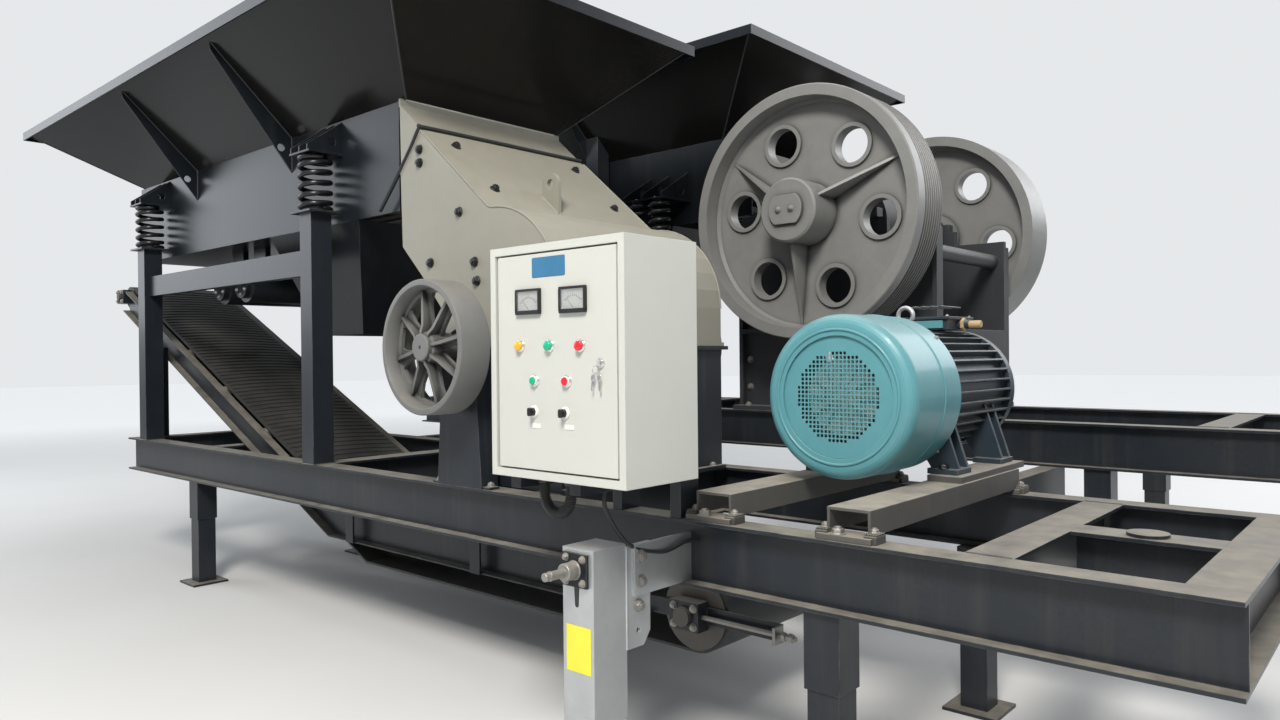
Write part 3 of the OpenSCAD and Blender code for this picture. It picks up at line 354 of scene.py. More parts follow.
def math_node(tree, operation, a, b=None, clamp=False):
    """Result of a sum, a product or the like, on sockets or plain numbers."""
    made = shade_node(tree, "ShaderNodeMath", operation=operation, use_clamp=clamp)
    for slot_number, value in enumerate((a, b)):
        if value is None:
            continue
        if isinstance(value, (int, float)):
            made.inputs[slot_number].default_value = value
        else:
            link(tree, value, made.inputs[slot_number])
    return made.outputs[0]


def ramp(tree, value, low, high, out_low=0.0, out_high=1.0):
    """A value carried from one range to another, held at the ends."""
    made = shade_node(tree, "ShaderNodeMapRange", n_1=low, n_2=high, n_3=out_low, n_4=out_high)
    link(tree, value, made.inputs[0])
    return made.outputs[0]


def noise(tree, vector, scale, detail=4.0, roughness=0.55):
    """Cloudy value between 0 and 1 over a vector, with its size, its octaves and their strength."""
    made = shade_node(tree, "ShaderNodeTexNoise")
    made.inputs["Scale"].default_value = scale
    made.inputs["Detail"].default_value = detail
    made.inputs["Roughness"].default_value = roughness
    link(tree, vector, made.inputs["Vector"])
    return made.outputs["Fac"]


def mix_colour(tree, factor, a, b):
    """Colour a turning into colour b by a factor."""
    made = shade_node(tree, "ShaderNodeMix", data_type="RGBA")
    for socket, value in ((made.inputs[0], factor), (made.inputs[6], a), (made.inputs[7], b)):
        if isinstance(value, (int, float, tuple)):
            socket.default_value = value
        else:
            link(tree, value, socket)
    return made.outputs[2]


def new_material(name):
    """An empty material with nodes: the material, its tree and its Principled shader."""
    material = bpy.data.materials.new(name)
    material.use_nodes = True
    return material, material.node_tree, material.node_tree.nodes["Principled BSDF"]


def weathering_group():
    """Dust on level faces, rubbed edges, patches and a fine grain, shared by all the finishes."""
    group = bpy.data.node_groups.new("plant_weathering", "ShaderNodeTree")
    face = group.interface
    for name, kind, value in (
        ("Base", "NodeSocketColor", (0.1, 0.1, 0.1, 1)), ("Dust And Sheen Colour", "NodeSocketColor", (0.35, 0.31, 0.24, 1)),
        ("Edge Colour", "NodeSocketColor", (0.3, 0.3, 0.3, 1)), ("Dust", "NodeSocketFloat", 0.5),
        ("Edge", "NodeSocketFloat", 0.5), ("Patch", "NodeSocketFloat", 0.3),
        ("Grain Scale", "NodeSocketFloat", 300.0), ("Rust", "NodeSocketFloat", 0.0),
    ):
        face.new_socket(name=name, in_out="INPUT", socket_type=kind).default_value = value
    for name, kind in (("Color", "NodeSocketColor"), ("Dusty", "NodeSocketFloat"), ("Height", "NodeSocketFloat"),
                       ("Normal", "NodeSocketVector")):
        face.new_socket(name=name, in_out="OUTPUT", socket_type=kind)
    inside = group.nodes.new("NodeGroupInput").outputs
    outside = group.nodes.new("NodeGroupOutput").inputs
    coords = group.nodes.new("ShaderNodeTexCoord").outputs["Object"]
    geometry = group.nodes.new("ShaderNodeNewGeometry")
    up = group.nodes.new("ShaderNodeSeparateXYZ")
    link(group, geometry.outputs["Normal"], up.inputs[0])
    # Clouds of three sizes, and upright streaks from clouds squeezed in X and Y
    broad = noise(group, coords, 1.7, 5.0, 0.6)
    patch = noise(group, coords, 9.0, 6.0, 0.62)
    speck = noise(group, coords, 90.0, 3.0, 0.7)
    stretch = shade_node(group, "ShaderNodeMapping")
    stretch.inputs["Scale"].default_value = (14.0, 14.0, 0.9)
    link(group, coords, stretch.inputs["Vector"])
    streak = noise(group, stretch.outputs[0], 1.0, 4.0, 0.6)
    # Dust lies on faces that look up, with a thin film and faint runs on the others
    level = ramp(group, up.outputs[2], 0.35, 0.95)
    lie = math_node(group, "MULTIPLY", level, ramp(group, patch, 0.25, 0.62, 0.45, 1.0))
    film = math_node(group, "MULTIPLY", ramp(group, broad, 0.35, 0.75), ramp(group, speck, 0.3, 0.75, 0.01, 0.08))
    run = math_node(group, "MULTIPLY", ramp(group, streak, 0.52, 0.8), 0.07)
    dust = math_node(group, "MULTIPLY", inside["Dust"], math_node(
        group, "ADD", lie, math_node(group, "ADD", film, run)), clamp=True)
    # An edge is where the rounded normal turns away from the face's own
    bevel = shade_node(group, "ShaderNodeBevel", samples=4)
    bevel.inputs["Radius"].default_value = 0.004
    turn = shade_node(group, "ShaderNodeVectorMath", operation="DOT_PRODUCT")
    link(group, bevel.outputs[0], turn.inputs[0])
    link(group, geometry.outputs["Normal"], turn.inputs[1])
    edge = math_node(group, "MULTIPLY", ramp(group, turn.outputs["Value"], 0.985, 0.90),
                     ramp(group, patch, 0.42, 0.6))
    edge = math_node(group, "MULTIPLY", edge, inside["Edge"], clamp=True)
    # The base colour swings lighter and darker with the large clouds
    shade = shade_node(group, "ShaderNodeHueSaturation")
    link(group, inside["Base"], shade.inputs["Color"])
    swing = math_node(group, "MULTIPLY", math_node(group, "SUBTRACT", patch, 0.5), inside["Patch"])
    swing = math_node(group, "ADD", swing, math_node(
        group, "MULTIPLY", math_node(group, "SUBTRACT", broad, 0.5), inside["Patch"]))
    link(group, math_node(group, "ADD", swing, 1.0), shade.inputs["Value"])
    # Rust in patches, then rubbed edges, then dust over both; on the black gloss the dust colour is also a painted
    # warm reflection
    rust = math_node(group, "MULTIPLY", inside["Rust"], ramp(group, patch, 0.52, 0.7), clamp=True)
    colour = mix_colour(group, rust, shade.outputs[0], (0.16, 0.07, 0.025, 1))
    colour = mix_colour(group, edge, colour, inside["Edge Colour"])
    colour = mix_colour(group, dust, colour, inside["Dust And Sheen Colour"])
    link(group, colour, outside["Color"])
    link(group, math_node(group, "ADD", dust, rust, clamp=True), outside["Dusty"])
    fine = shade_node(group, "ShaderNodeTexNoise")
    fine.inputs["Detail"].default_value = 2.0
    link(group, coords, fine.inputs["Vector"])
    link(group, inside["Grain Scale"], fine.inputs["Scale"])
    link(group, math_node(group, "ADD", math_node(group, "MULTIPLY", fine.outputs[0], 0.5),
                          math_node(group, "MULTIPLY", patch, 0.5)), outside["Height"])
    link(group, bevel.outputs[0], outside["Normal"])
    return group


def painted_shade_group():
    """Painted shade: the colour turns dark where a face lies close to others, in the recesses and grooves of
    castings.
    """
    group = bpy.data.node_groups.new("plant_painted_shade", "ShaderNodeTree")
    face = group.interface
    face.new_socket(name="Color", in_out="INPUT", socket_type="NodeSocketColor")
    face.new_socket(name="Reach", in_out="INPUT", socket_type="NodeSocketFloat").default_value = 0.05
    face.new_socket(name="Color", in_out="OUTPUT", socket_type="NodeSocketColor")
    inside = group.nodes.new("NodeGroupInput").outputs
    outside = group.nodes.new("NodeGroupOutput").inputs
    nearby = shade_node(group, "ShaderNodeAmbientOcclusion", samples=6)
    link(group, inside["Reach"], nearby.inputs["Distance"])
    painted_shade_mask = ramp(group, nearby.outputs["AO"], 0.92, 0.35)
    link(group, mix_colour(group, painted_shade_mask, inside["Color"], (0.016, 0.017, 0.018, 1)), outside["Color"])
    return group


# Roughness of a surface that dust or rust covers, roughness of a clear coat, and depth of the fine bumps
DUSTY_ROUGHNESS, COAT_ROUGHNESS, BUMP_DEPTH = 0.85, 0.12, 2 * MM


def finish_of(name, colour, roughness=0.45, metallic=0.0, dust=0.5, edge=0.4, patch=0.25, grain=260.0,
              bump=0.12, coat=0.0, rust=0.0, shine=0.5, painted_shade_reach=0.0, dust_and_sheen_colour=(0.30, 0.275, 0.23),
              edge_colour=(0.28, 0.28, 0.27)):
    """A finish over the shared weathering: roughness grows where dust or rust lies, and painted shade darkens the
    recesses when its reach is given.
    """
    material, tree, shader = new_material(name)
    group = bpy.data.node_groups.get("plant_weathering") or weathering_group()
    made = shade_node(tree, "ShaderNodeGroup", node_tree=group)
    made.inputs["Base"].default_value = (*colour, 1)
    made.inputs["Dust And Sheen Colour"].default_value = (*dust_and_sheen_colour, 1)
    made.inputs["Edge Colour"].default_value = (*edge_colour, 1)
    for key, value in (("Dust", dust), ("Edge", edge), ("Patch", patch), ("Grain Scale", grain), ("Rust", rust)):
        made.inputs[key].default_value = value
    shown = made.outputs["Color"]
    # Painted shade: the colour darkens in recesses, from ambient occlusion over the given reach
    if painted_shade_reach:
        painted_shade = shade_node(tree, "ShaderNodeGroup", node_tree=bpy.data.node_groups.get("plant_painted_shade") or painted_shade_group())
        painted_shade.inputs["Reach"].default_value = painted_shade_reach
        link(tree, shown, painted_shade.inputs["Color"])
        shown = painted_shade.outputs["Color"]
    link(tree, shown, shader.inputs["Base Color"])
    link(tree, ramp(tree, made.outputs["Dusty"], 0.0, 0.8, roughness, max(roughness, DUSTY_ROUGHNESS)),
         shader.inputs["Roughness"])
    if metallic:
        link(tree, ramp(tree, made.outputs["Dusty"], 0.0, 0.6, metallic, 0.0), shader.inputs["Metallic"])
    shader.inputs["Specular IOR Level"].default_value = shine
    shader.inputs["Coat Weight"].default_value = coat
    shader.inputs["Coat Roughness"].default_value = COAT_ROUGHNESS
    height = shade_node(tree, "ShaderNodeBump")
    height.inputs["Strength"].default_value = bump
    height.inputs["Distance"].default_value = BUMP_DEPTH
    link(tree, made.outputs["Height"], height.inputs["Height"])
    link(tree, made.outputs["Normal"], height.inputs["Normal"])
    link(tree, height.outputs[0], shader.inputs["Normal"])
    return material


def clear_finish(name, colour, roughness=0.1, coat=0.0, transmission=0.0):
    """Lens or window: a plain clear colour with a faint cloudiness in its roughness."""
    material, tree, shader = new_material(name)
    coords = tree.nodes.new("ShaderNodeTexCoord").outputs["Object"]
    cloud = noise(tree, coords, 60.0)
    shader.inputs["Base Color"].default_value = (*colour, 1)
    link(tree, ramp(tree, cloud, 0.3, 0.7, roughness, roughness + 0.08), shader.inputs["Roughness"])
    shader.inputs["Coat Weight"].default_value = coat
    shader.inputs["Transmission Weight"].default_value = transmission
    return material


FINISH = {}


def build_finishes(look):
    """Every finish of the plant, keyed by what it is."""
    dark = tuple(look.frame_colour)
    FINISH.update(
        dark_paint=finish_of("dark_paint", dark, 0.33, dust=0.75, edge=0.5, coat=0.08, shine=0.3),
        # The black gloss's warm brown dust colour is partly dust and partly a painted warm reflection
        black_gloss=finish_of("black_gloss", (0.009, 0.009, 0.009), 0.2, dust=0.3, edge=0.3, bump=0.25,
                              grain=3.5, coat=0.03, shine=0.18, dust_and_sheen_colour=(0.16, 0.105, 0.06)),
        black_paint=finish_of("black_paint", (0.008, 0.011, 0.015), 0.28, dust=0.35, edge=0.3, shine=0.25),
        spring_steel=finish_of("spring_steel", (0.006, 0.007, 0.009), 0.3, dust=0.05, edge=0.05, coat=0.1),
        worn_steel=finish_of("worn_steel", (0.10, 0.096, 0.088), 0.6, 0.5, dust=0.8, edge=0.5, rust=0.4),
        grey_paint=finish_of("grey_paint", tuple(look.housing_colour), 0.5, dust=0.3, edge=0.25, patch=0.14,
                             dust_and_sheen_colour=(0.42, 0.38, 0.30), edge_colour=(0.5, 0.49, 0.45)),
        shaft_steel=finish_of("shaft_steel", (0.42, 0.42, 0.42), 0.3, 0.9, dust=0.2, edge=0.2, rust=0.25),
        # The cast wheel carries painted shade in its recesses
        cast_wheel=finish_of("cast_wheel", (0.15, 0.152, 0.148), 0.5, dust=0.4, edge=0.35, grain=120.0, bump=0.5,
                             painted_shade_reach=0.11),
        cabinet_paint=finish_of("cabinet_paint", tuple(look.cabinet_colour), 0.38, dust=0.12, edge=0.1,
                                patch=0.04, grain=700.0, bump=0.08, coat=0.2),
        motor_paint=finish_of("motor_paint", (0.022, 0.036, 0.050), 0.4, dust=0.45, edge=0.7, grain=150.0, bump=0.3,
                              edge_colour=(0.30, 0.32, 0.32)),
        teal_paint=finish_of("teal_paint", tuple(look.cowl_colour), 0.4, dust=0.3, edge=0.35, patch=0.2, coat=0.2,
                             edge_colour=(0.4, 0.5, 0.5)),
        dusty_steel=finish_of("dusty_steel", (0.075, 0.073, 0.068), 0.6, dust=1.0, edge=0.6, rust=0.2),
        crusher_paint=finish_of("crusher_paint", (0.028, 0.031, 0.036), 0.5, dust=0.5, edge=0.4, grain=120.0,
                                bump=0.3),
        # The flywheel carries painted shade in its recesses and grooves
        flywheel_paint=finish_of("flywheel_paint", (0.215, 0.217, 0.21), 0.4, dust=0.5, edge=0.15, patch=0.3,
                                 grain=140.0, bump=0.4, painted_shade_reach=0.045, dust_and_sheen_colour=(0.28, 0.275, 0.26),
                                 edge_colour=(0.34, 0.33, 0.31)),
        galvanised=finish_of("galvanised", (0.50, 0.52, 0.53), 0.42, 0.75, dust=0.3, edge=0.1, patch=0.35,
                             grain=40.0, bump=0.1),
        hose_rubber=finish_of("hose_rubber", (0.012, 0.014, 0.016), 0.5, dust=0.16, edge=0.0),
        zinc=finish_of("zinc", (0.31, 0.30, 0.28), 0.45, 0.7, dust=0.4, edge=0.2, rust=0.3),
        chrome=finish_of("chrome", (0.75, 0.75, 0.75), 0.12, 0.95, dust=0.05, edge=0.0, patch=0.05, bump=0.02),
        weld_bead=finish_of("weld_bead", (0.30, 0.29, 0.25), 0.5, dust=0.3, edge=0.0, grain=500.0),
        dark_weld=finish_of("dark_weld", (0.03, 0.032, 0.034), 0.35, dust=0.4, edge=0.0, grain=500.0),
        black_plastic=finish_of("black_plastic", (0.012, 0.012, 0.014), 0.3, dust=0.08, edge=0.0, patch=0.05),
        dusty_fan=finish_of("dusty_fan", (0.42, 0.50, 0.47), 0.7, dust=0.5, edge=0.0, patch=0.5,
                            dust_and_sheen_colour=(0.50, 0.50, 0.44)),
        white_plastic=finish_of("white_plastic", (0.74, 0.74, 0.70), 0.3, dust=0.05, edge=0.0, patch=0.05),
        paper=finish_of("paper", (0.80, 0.80, 0.77), 0.6, dust=0.02, edge=0.0, patch=0.03),
        blue_plate=finish_of("blue_plate", (0.03, 0.16, 0.31), 0.35, dust=0.1, edge=0.1),
        yellow_plate=finish_of("yellow_plate", (0.78, 0.72, 0.05), 0.45, dust=0.12, edge=0.1),
        tan_plug=finish_of("tan_plug", (0.45, 0.32, 0.16), 0.5, dust=0.2, edge=0.0),
        amber_lens=clear_finish("amber_lens", (0.95, 0.42, 0.01), 0.15, 0.6),
        green_lens=clear_finish("green_lens", (0.0, 0.42, 0.22), 0.15, 0.6),
        red_lens=clear_finish("red_lens", (0.75, 0.01, 0.02), 0.15, 0.6),
        window=clear_finish("window", (0.95, 0.96, 0.96), 0.03, 0.0, 0.95),
    )


# Slots of the record whose finish has another name
SLOT_FINISH = {"meter_face": "black_plastic", "control_trim": "chrome"}


# Pale colour of the backdrop, and of the floor far from the plant
BACKDROP = (0.86, 0.88, 0.90, 1)


# Sizes and colours a user would change

class PlantLook(bpy.types.PropertyGroup):
    """Colours of the large surfaces."""
    frame_colour: FloatVectorProperty(name="Frame paint", description="Paint of the beams and posts",
                                      subtype="COLOR", default=(0.013, 0.017, 0.023), min=0, max=1)
    housing_colour: FloatVectorProperty(name="Housing paint", description="Paint of the hammer crusher",
                                        subtype="COLOR", default=(0.27, 0.262, 0.218), min=0, max=1)
    cabinet_colour: FloatVectorProperty(name="Cabinet paint", description="Paint of the control cabinet",
                                        subtype="COLOR", default=(0.55, 0.56, 0.52), min=0, max=1)
    cowl_colour: FloatVectorProperty(name="Cowl paint", description="Paint of the motor's fan cowl",
                                     subtype="COLOR", default=(0.092, 0.285, 0.325), min=0, max=1)


class PlantSizes(bpy.types.PropertyGroup):
    """Sizes of the fittings."""
    weld_radius: FloatProperty(name="Weld bead", description="Radius of a weld bead", unit="LENGTH",
                               default=5 * MM, min=1 * MM, max=12 * MM)
    liner_bolt: FloatProperty(name="Liner bolt", description="Thread of the liner bolts", unit="LENGTH",
                              default=24 * MM, min=12 * MM, max=40 * MM)
    spring_sides: IntProperty(name="Spring sides", description="Sides of the spring wire", default=12, min=6, max=24)
    hose_pitch: FloatProperty(name="Hose pitch", description="Distance between the ribs of the hose",
                              unit="LENGTH", default=7 * MM, min=3 * MM, max=15 * MM)
    lamp_radius: FloatProperty(name="Lamp", description="Radius of a signal lamp", unit="LENGTH",
                               default=17 * MM, min=8 * MM, max=30 * MM)


class PLANT_OT_stage(bpy.types.Operator):
    """Floor, soft studio light and the camera at the photographer's place."""
    bl_idname = "plant.stage"
    bl_label = "Stage"

    # The lens and the tilt in pixels of the photograph, from where the chassis's lines run together
    photo_width = 1280
    focal_pixels = 897.0
    horizon_above_middle = 5.0
    camera_roll = math.radians(-0.55)
    camera_place = (4.10, -3.3535, 1.60)
    camera_heading = (-0.6665, 0.7455)
    floor_radius = 60.0
    lamp_target = (0.5, -0.5, 1.5)
    # Name, place, side of the square lamp, watts and colour
    lamps = [("key", (5.5, -7.5, 8.0), 2.5, 1080.0, (1.0, 0.96, 0.90)),
             ("fill", (-9.0, -6.0, 5.0), 6.0, 260.0, (0.90, 0.95, 1.0)),
             ("back", (5.0, 9.0, 7.0), 6.0, 420.0, (0.95, 0.97, 1.0)),
             ("top", (-1.0, 0.0, 9.0), 8.0, 320.0, (1.0, 1.0, 1.0))]

    def execute(self, context):
        scene = context.scene
        self.camera(scene)
        self.lights(scene)
        disc = [np.column_stack([ngon(64, self.floor_radius), np.full(64, h)]) for h in (-0.02, -0.001)]
        make("studio_floor", loft(disc), self.floor_finish())
        self.world(scene)
        scene.view_settings.view_transform = "Standard"
        return {"FINISHED"}

    def camera(self, scene):
        """Camera whose place, heading, tilt, roll and lens give the photograph's view."""
        data = bpy.data.cameras.new("photo_camera")
        data.sensor_width = 36.0
        data.lens = self.focal_pixels / self.photo_width * data.sensor_width
        data.clip_end = 200.0
        camera = bpy.data.objects.new("photo_camera", data)
        scene.collection.objects.link(camera)
        camera.location = at(*self.camera_place)
        pitch = math.atan(self.horizon_above_middle / self.focal_pixels)
        ahead = Vector((*self.camera_heading, -math.tan(pitch)))
        turn = ahead.to_track_quat("-Z", "Y").to_matrix() @ Matrix.Rotation(self.camera_roll, 3, "Z")
        camera.rotation_euler = turn.to_euler()
        scene.camera = camera

    def lights(self, scene):
        """Soft square lamps that all face the middle of the plant."""
        for name, place, size, power, colour in self.lamps:
            lamp = bpy.data.lights.new(name, "AREA")
            lamp.size = size
            lamp.energy = power
            lamp.color = colour
            obj = bpy.data.objects.new(name, lamp)
            scene.collection.objects.link(obj)
            obj.location = place
            aim = Vector(self.lamp_target) - Vector(place)
            obj.rotation_euler = aim.to_track_quat("-Z", "Y").to_euler()

    def floor_finish(self):
        """Pale floor with a faint mottle, which the camera sees fade into the backdrop far from the plant."""
        material, tree, floor = new_material("studio_floor")
        coords = tree.nodes.new("ShaderNodeTexCoord").outputs["Object"]
        colour = mix_colour(tree, noise(tree, coords, 0.8), (0.70, 0.70, 0.69, 1), (0.76, 0.76, 0.75, 1))
        link(tree, colour, floor.inputs["Base Color"])
        floor.inputs["Roughness"].default_value = 0.8
        floor.inputs["Emission Color"].default_value = BACKDROP
        reach = shade_node(tree, "ShaderNodeVectorMath", operation="LENGTH")
        link(tree, coords, reach.inputs[0])
        seen = tree.nodes.new("ShaderNodeLightPath").outputs["Is Camera Ray"]
        far = ramp(tree, reach.outputs["Value"], 5.0, 20.0, 0.0, 0.62)
        link(tree, math_node(tree, "MULTIPLY", far, seen), floor.inputs["Emission Strength"])
        return material

    def world(self, scene):
        """Dim pale light for the object, and a plain pale ground for the camera, gloss and glass."""
        world = bpy.data.worlds.new("studio")
        scene.world = world
        world.use_nodes = True
        tree = world.node_tree
        light = tree.nodes["Background"]
        light.inputs["Color"].default_value = (0.86, 0.90, 0.96, 1)
        light.inputs["Strength"].default_value = 0.42
        seen = shade_node(tree, "ShaderNodeBackground", n_0=BACKDROP, n_1=0.92)
        path = tree.nodes.new("ShaderNodeLightPath").outputs
        shown = math_node(tree, "MAXIMUM", path["Is Camera Ray"],
                          math_node(tree, "MAXIMUM", math_node(tree, "MULTIPLY", path["Is Glossy Ray"], 0.5),
                                    path["Is Transmission Ray"]))
        blend = tree.nodes.new("ShaderNodeMixShader")
        link(tree, shown, blend.inputs[0])
        link(tree, light.outputs[0], blend.inputs[1])
        link(tree, seen.outputs[0], blend.inputs[2])
        link(tree, blend.outputs[0], tree.nodes["World Output"].inputs["Surface"])


class PLANT_OT_finishes(bpy.types.Operator):
    """The finish of every carried-over node, by its material slot in the record."""
    bl_idname = "plant.finishes"
    bl_label = "Finishes"

    def execute(self, context):
        build_finishes(context.scene.plant_look)
        for part in frame["record"]["subparts"]:
            key = SLOT_FINISH.get(part["material_slot"], part["material_slot"])
            mesh = frame["nodes"][part["node"]].data
            mesh.materials.clear()
            mesh.materials.append(FINISH[key])
        return {"FINISHED"}


class PLANT_OT_springs(bpy.types.Operator):
    """Coil springs with flattened end turns in place of the plain ones."""
    bl_idname = "plant.springs"
    bl_label = "Springs"

    # Node, outer and wire radius in millimetres, turns, and where the springs of one seat stand along X
    kinds = [("feeder_springs", 100, 15.5, 6.0, (0,)), ("rear_springs", 90, 16, 4.5, (0, 200))]

    def execute(self, context):
        sides = context.scene.plant_sizes.spring_sides
        for node, outer, wire, turns, steps in self.kinds:
            lo, hi = corner_low(node), corner_high(node)
            outer, wire, last = outer * MM, wire * MM, steps[-1] * MM
            starts = (lo[0] + outer, hi[0] - outer - last)
            places = [(x + d * MM, y) for x in starts for d in steps for y in (lo[1] + outer, hi[1] - outer)]
            one = self.coil(hi[2] - lo[2], outer - wire, wire, turns, sides)
            coils = [placed(one, facing(Z, (x, y, lo[2]))) for x, y in places]
            make(node + "_turned", joined(coils), FINISH["spring_steel"], replaces=[node])
        return {"FINISHED"}

    def coil(self, height, radius, wire, turns, sides):
        """Helix (radius cos t, radius sin t, z), whose z stays level over the ends and eases in between."""
        steps_per_turn, level_turns, ease = 40, 0.75, 0.2
        t = np.linspace(0, TAU * turns, int(steps_per_turn * turns))
        level = level_turns / turns
        rise = np.clip((t / t[-1] - level * 0.5) / (1 - level), 0, 1)
        rise = rise * (1 - ease) + ease * (3 * rise ** 2 - 2 * rise ** 3)
        z = wire + (height - 2 * wire) * rise
        return tube(np.stack([radius * np.cos(t), radius * np.sin(t), z], -1), wire, sides)


class PLANT_OT_housing_fittings(bpy.types.Operator):
    """Liner bolts, weld seams, inlet lip, seal strip and foot bolts of the hammer crusher."""
    bl_idname = "plant.housing_fittings"
    bl_label = "Hammer crusher fittings"

    # The rotor's place along the row, and how far a side plate's flange stands out from it
    rotor_x = 0.592
    flange_reach = 28 * MM
    # Places on the side plates and along their outline: along the row and above the ground
    side_bolts = [(0.10, 2.69), (0.10, 2.62), (0.435, 2.325), (0.189, 2.088), (0.555, 2.066), (0.571, 1.971)]
    ridge = [(-0.078, 2.585), (0.11, 2.79), (0.66, 2.328)]
    cover_middle = (0.69, 1.85)
    cover_radius = 0.47
    lug_ends = [(0.510, 2.454), (0.638, 2.347)]
    seal_side = [(-0.275, 2.41), (-0.13, 2.55), (0.02, 2.705), (0.104, 2.802)]
    seal_top = [(0.100, -0.57, 2.812), (0.096, -0.2, 2.814), (0.098, 0.2, 2.813), (0.100, 0.58, 2.812)]

    def execute(self, context):
        sizes = context.scene.plant_sizes
        near = corner_low("housing_near_side")[1] + self.flange_reach
        far = corner_high("housing_far_side")[1] - self.flange_reach
        self.plate_bolts(near, far, sizes.liner_bolt)
        self.seams(near, far, sizes.weld_radius)
        self.inlet(near)
        self.flange_bolts()
        base = [at(x, y, 1.0) for x in (0.286, 1.174) for y in np.arange(-0.5, 0.51, 0.25)]
        bolts("housing_base_bolts", base, Z, 20 * MM, FINISH["zinc"])
        self.bearing_bolts()
        return {"FINISHED"}

    def on_plate(self, x, y, z):
        """A place on a side plate, whose Y is the row frame's own."""
        return np.array([at(x, 0, 0)[0], y, z])

    def plate_bolts(self, near, far, size):
        """Liner bolts of both side plates and of the sloping cover plate."""
        for name, y, direction in (("near_liner_bolts", near, -Y), ("far_liner_bolts", far, Y)):
            places = [self.on_plate(x, y, z) for x, z in self.side_bolts]
            bolts(name, places, direction, size, FINISH["spring_steel"])
        top, foot = np.array(self.ridge[1:])
        slope = foot - top
        places = [at(x, y, z) for x, z in (top + slope * 0.16, top + slope * 0.74) for y in (-0.44, 0.44)]
        bolts("cover_bolts", places, np.array([-slope[1], 0, slope[0]]), size, FINISH["spring_steel"])

    def seams(self, near, far, radius):
        """Weld beads along the cover's edges and at the foot of the lifting lug."""
        turns = np.radians(np.arange(90, -1, -6))
        (x, z), r = self.cover_middle, self.cover_radius
        outline = self.ridge + [(x + r * math.cos(a), z + r * math.sin(a)) for a in turns]
        for name, y in (("near_seam", near), ("far_seam", far)):
            make(name, weld([self.on_plate(x, y, z) for x, z in outline], radius), FINISH["weld_bead"])
        feet = [weld([at(x, y, z) for x, z in self.lug_ends], radius) for y in (-0.113, -0.087)]
        make("lug_welds", joined(feet), FINISH["weld_bead"])

    def inlet(self, near):
        """Upright lip of the inlet, and the rubber strip that hangs along its edge."""
        make("inlet_lip", brick(at(-0.112, -0.585, 2.955), at(-0.098, 0.585, 3.002)), FINISH["grey_paint"])
        low = [self.on_plate(x, near - 4 * MM, z) for x, z in self.seal_side]
        top = [at(*point) for point in self.seal_top]
        make("inlet_seal", tube(smooth_path(low + top, 120), 11 * MM, 10), FINISH["hose_rubber"])

    def flange_bolts(self):
        """Bolts of the split flanges, with room left for the shaft."""
        low = corner_low("housing_near_side")
        y, z = low[1] + self.flange_reach / 2, low[2] + 20 * MM
        xs = [x for x in np.arange(0.345, 1.14, 0.11) if abs(x - self.rotor_x) > 0.09]
        for name, side in (("near_flange_bolts", y), ("far_flange_bolts", 2 * FRONT[1] - y)):
            bolts(name, [self.on_plate(x, side, z) for x in xs], Z, 16 * MM, FINISH["zinc"])

    def bearing_bolts(self):
        """Cap bolts, foot pads and foot bolts of the rotor's two plummer blocks."""
        caps = [at(self.rotor_x + dx, s * 0.686, 1.61) for dx in (-0.117, 0.117) for s in (-1, 1)]
        bolts("block_bolts", caps, Z, 24 * MM, FINISH["zinc"])
        feet = [at(self.rotor_x + dx, s * 0.700, DECK) for dx in (-0.195, 0.195) for s in (-1, 1)]
        pads = [brick(p - (24 * MM, 30 * MM, 0), p + (24 * MM, 30 * MM, 12 * MM)) for p in feet]
        make("block_pads", joined(pads), FINISH["dark_paint"])
        bolts("block_foot_bolts", [p + Z * 12 * MM for p in feet], Z, 20 * MM, FINISH["zinc"])


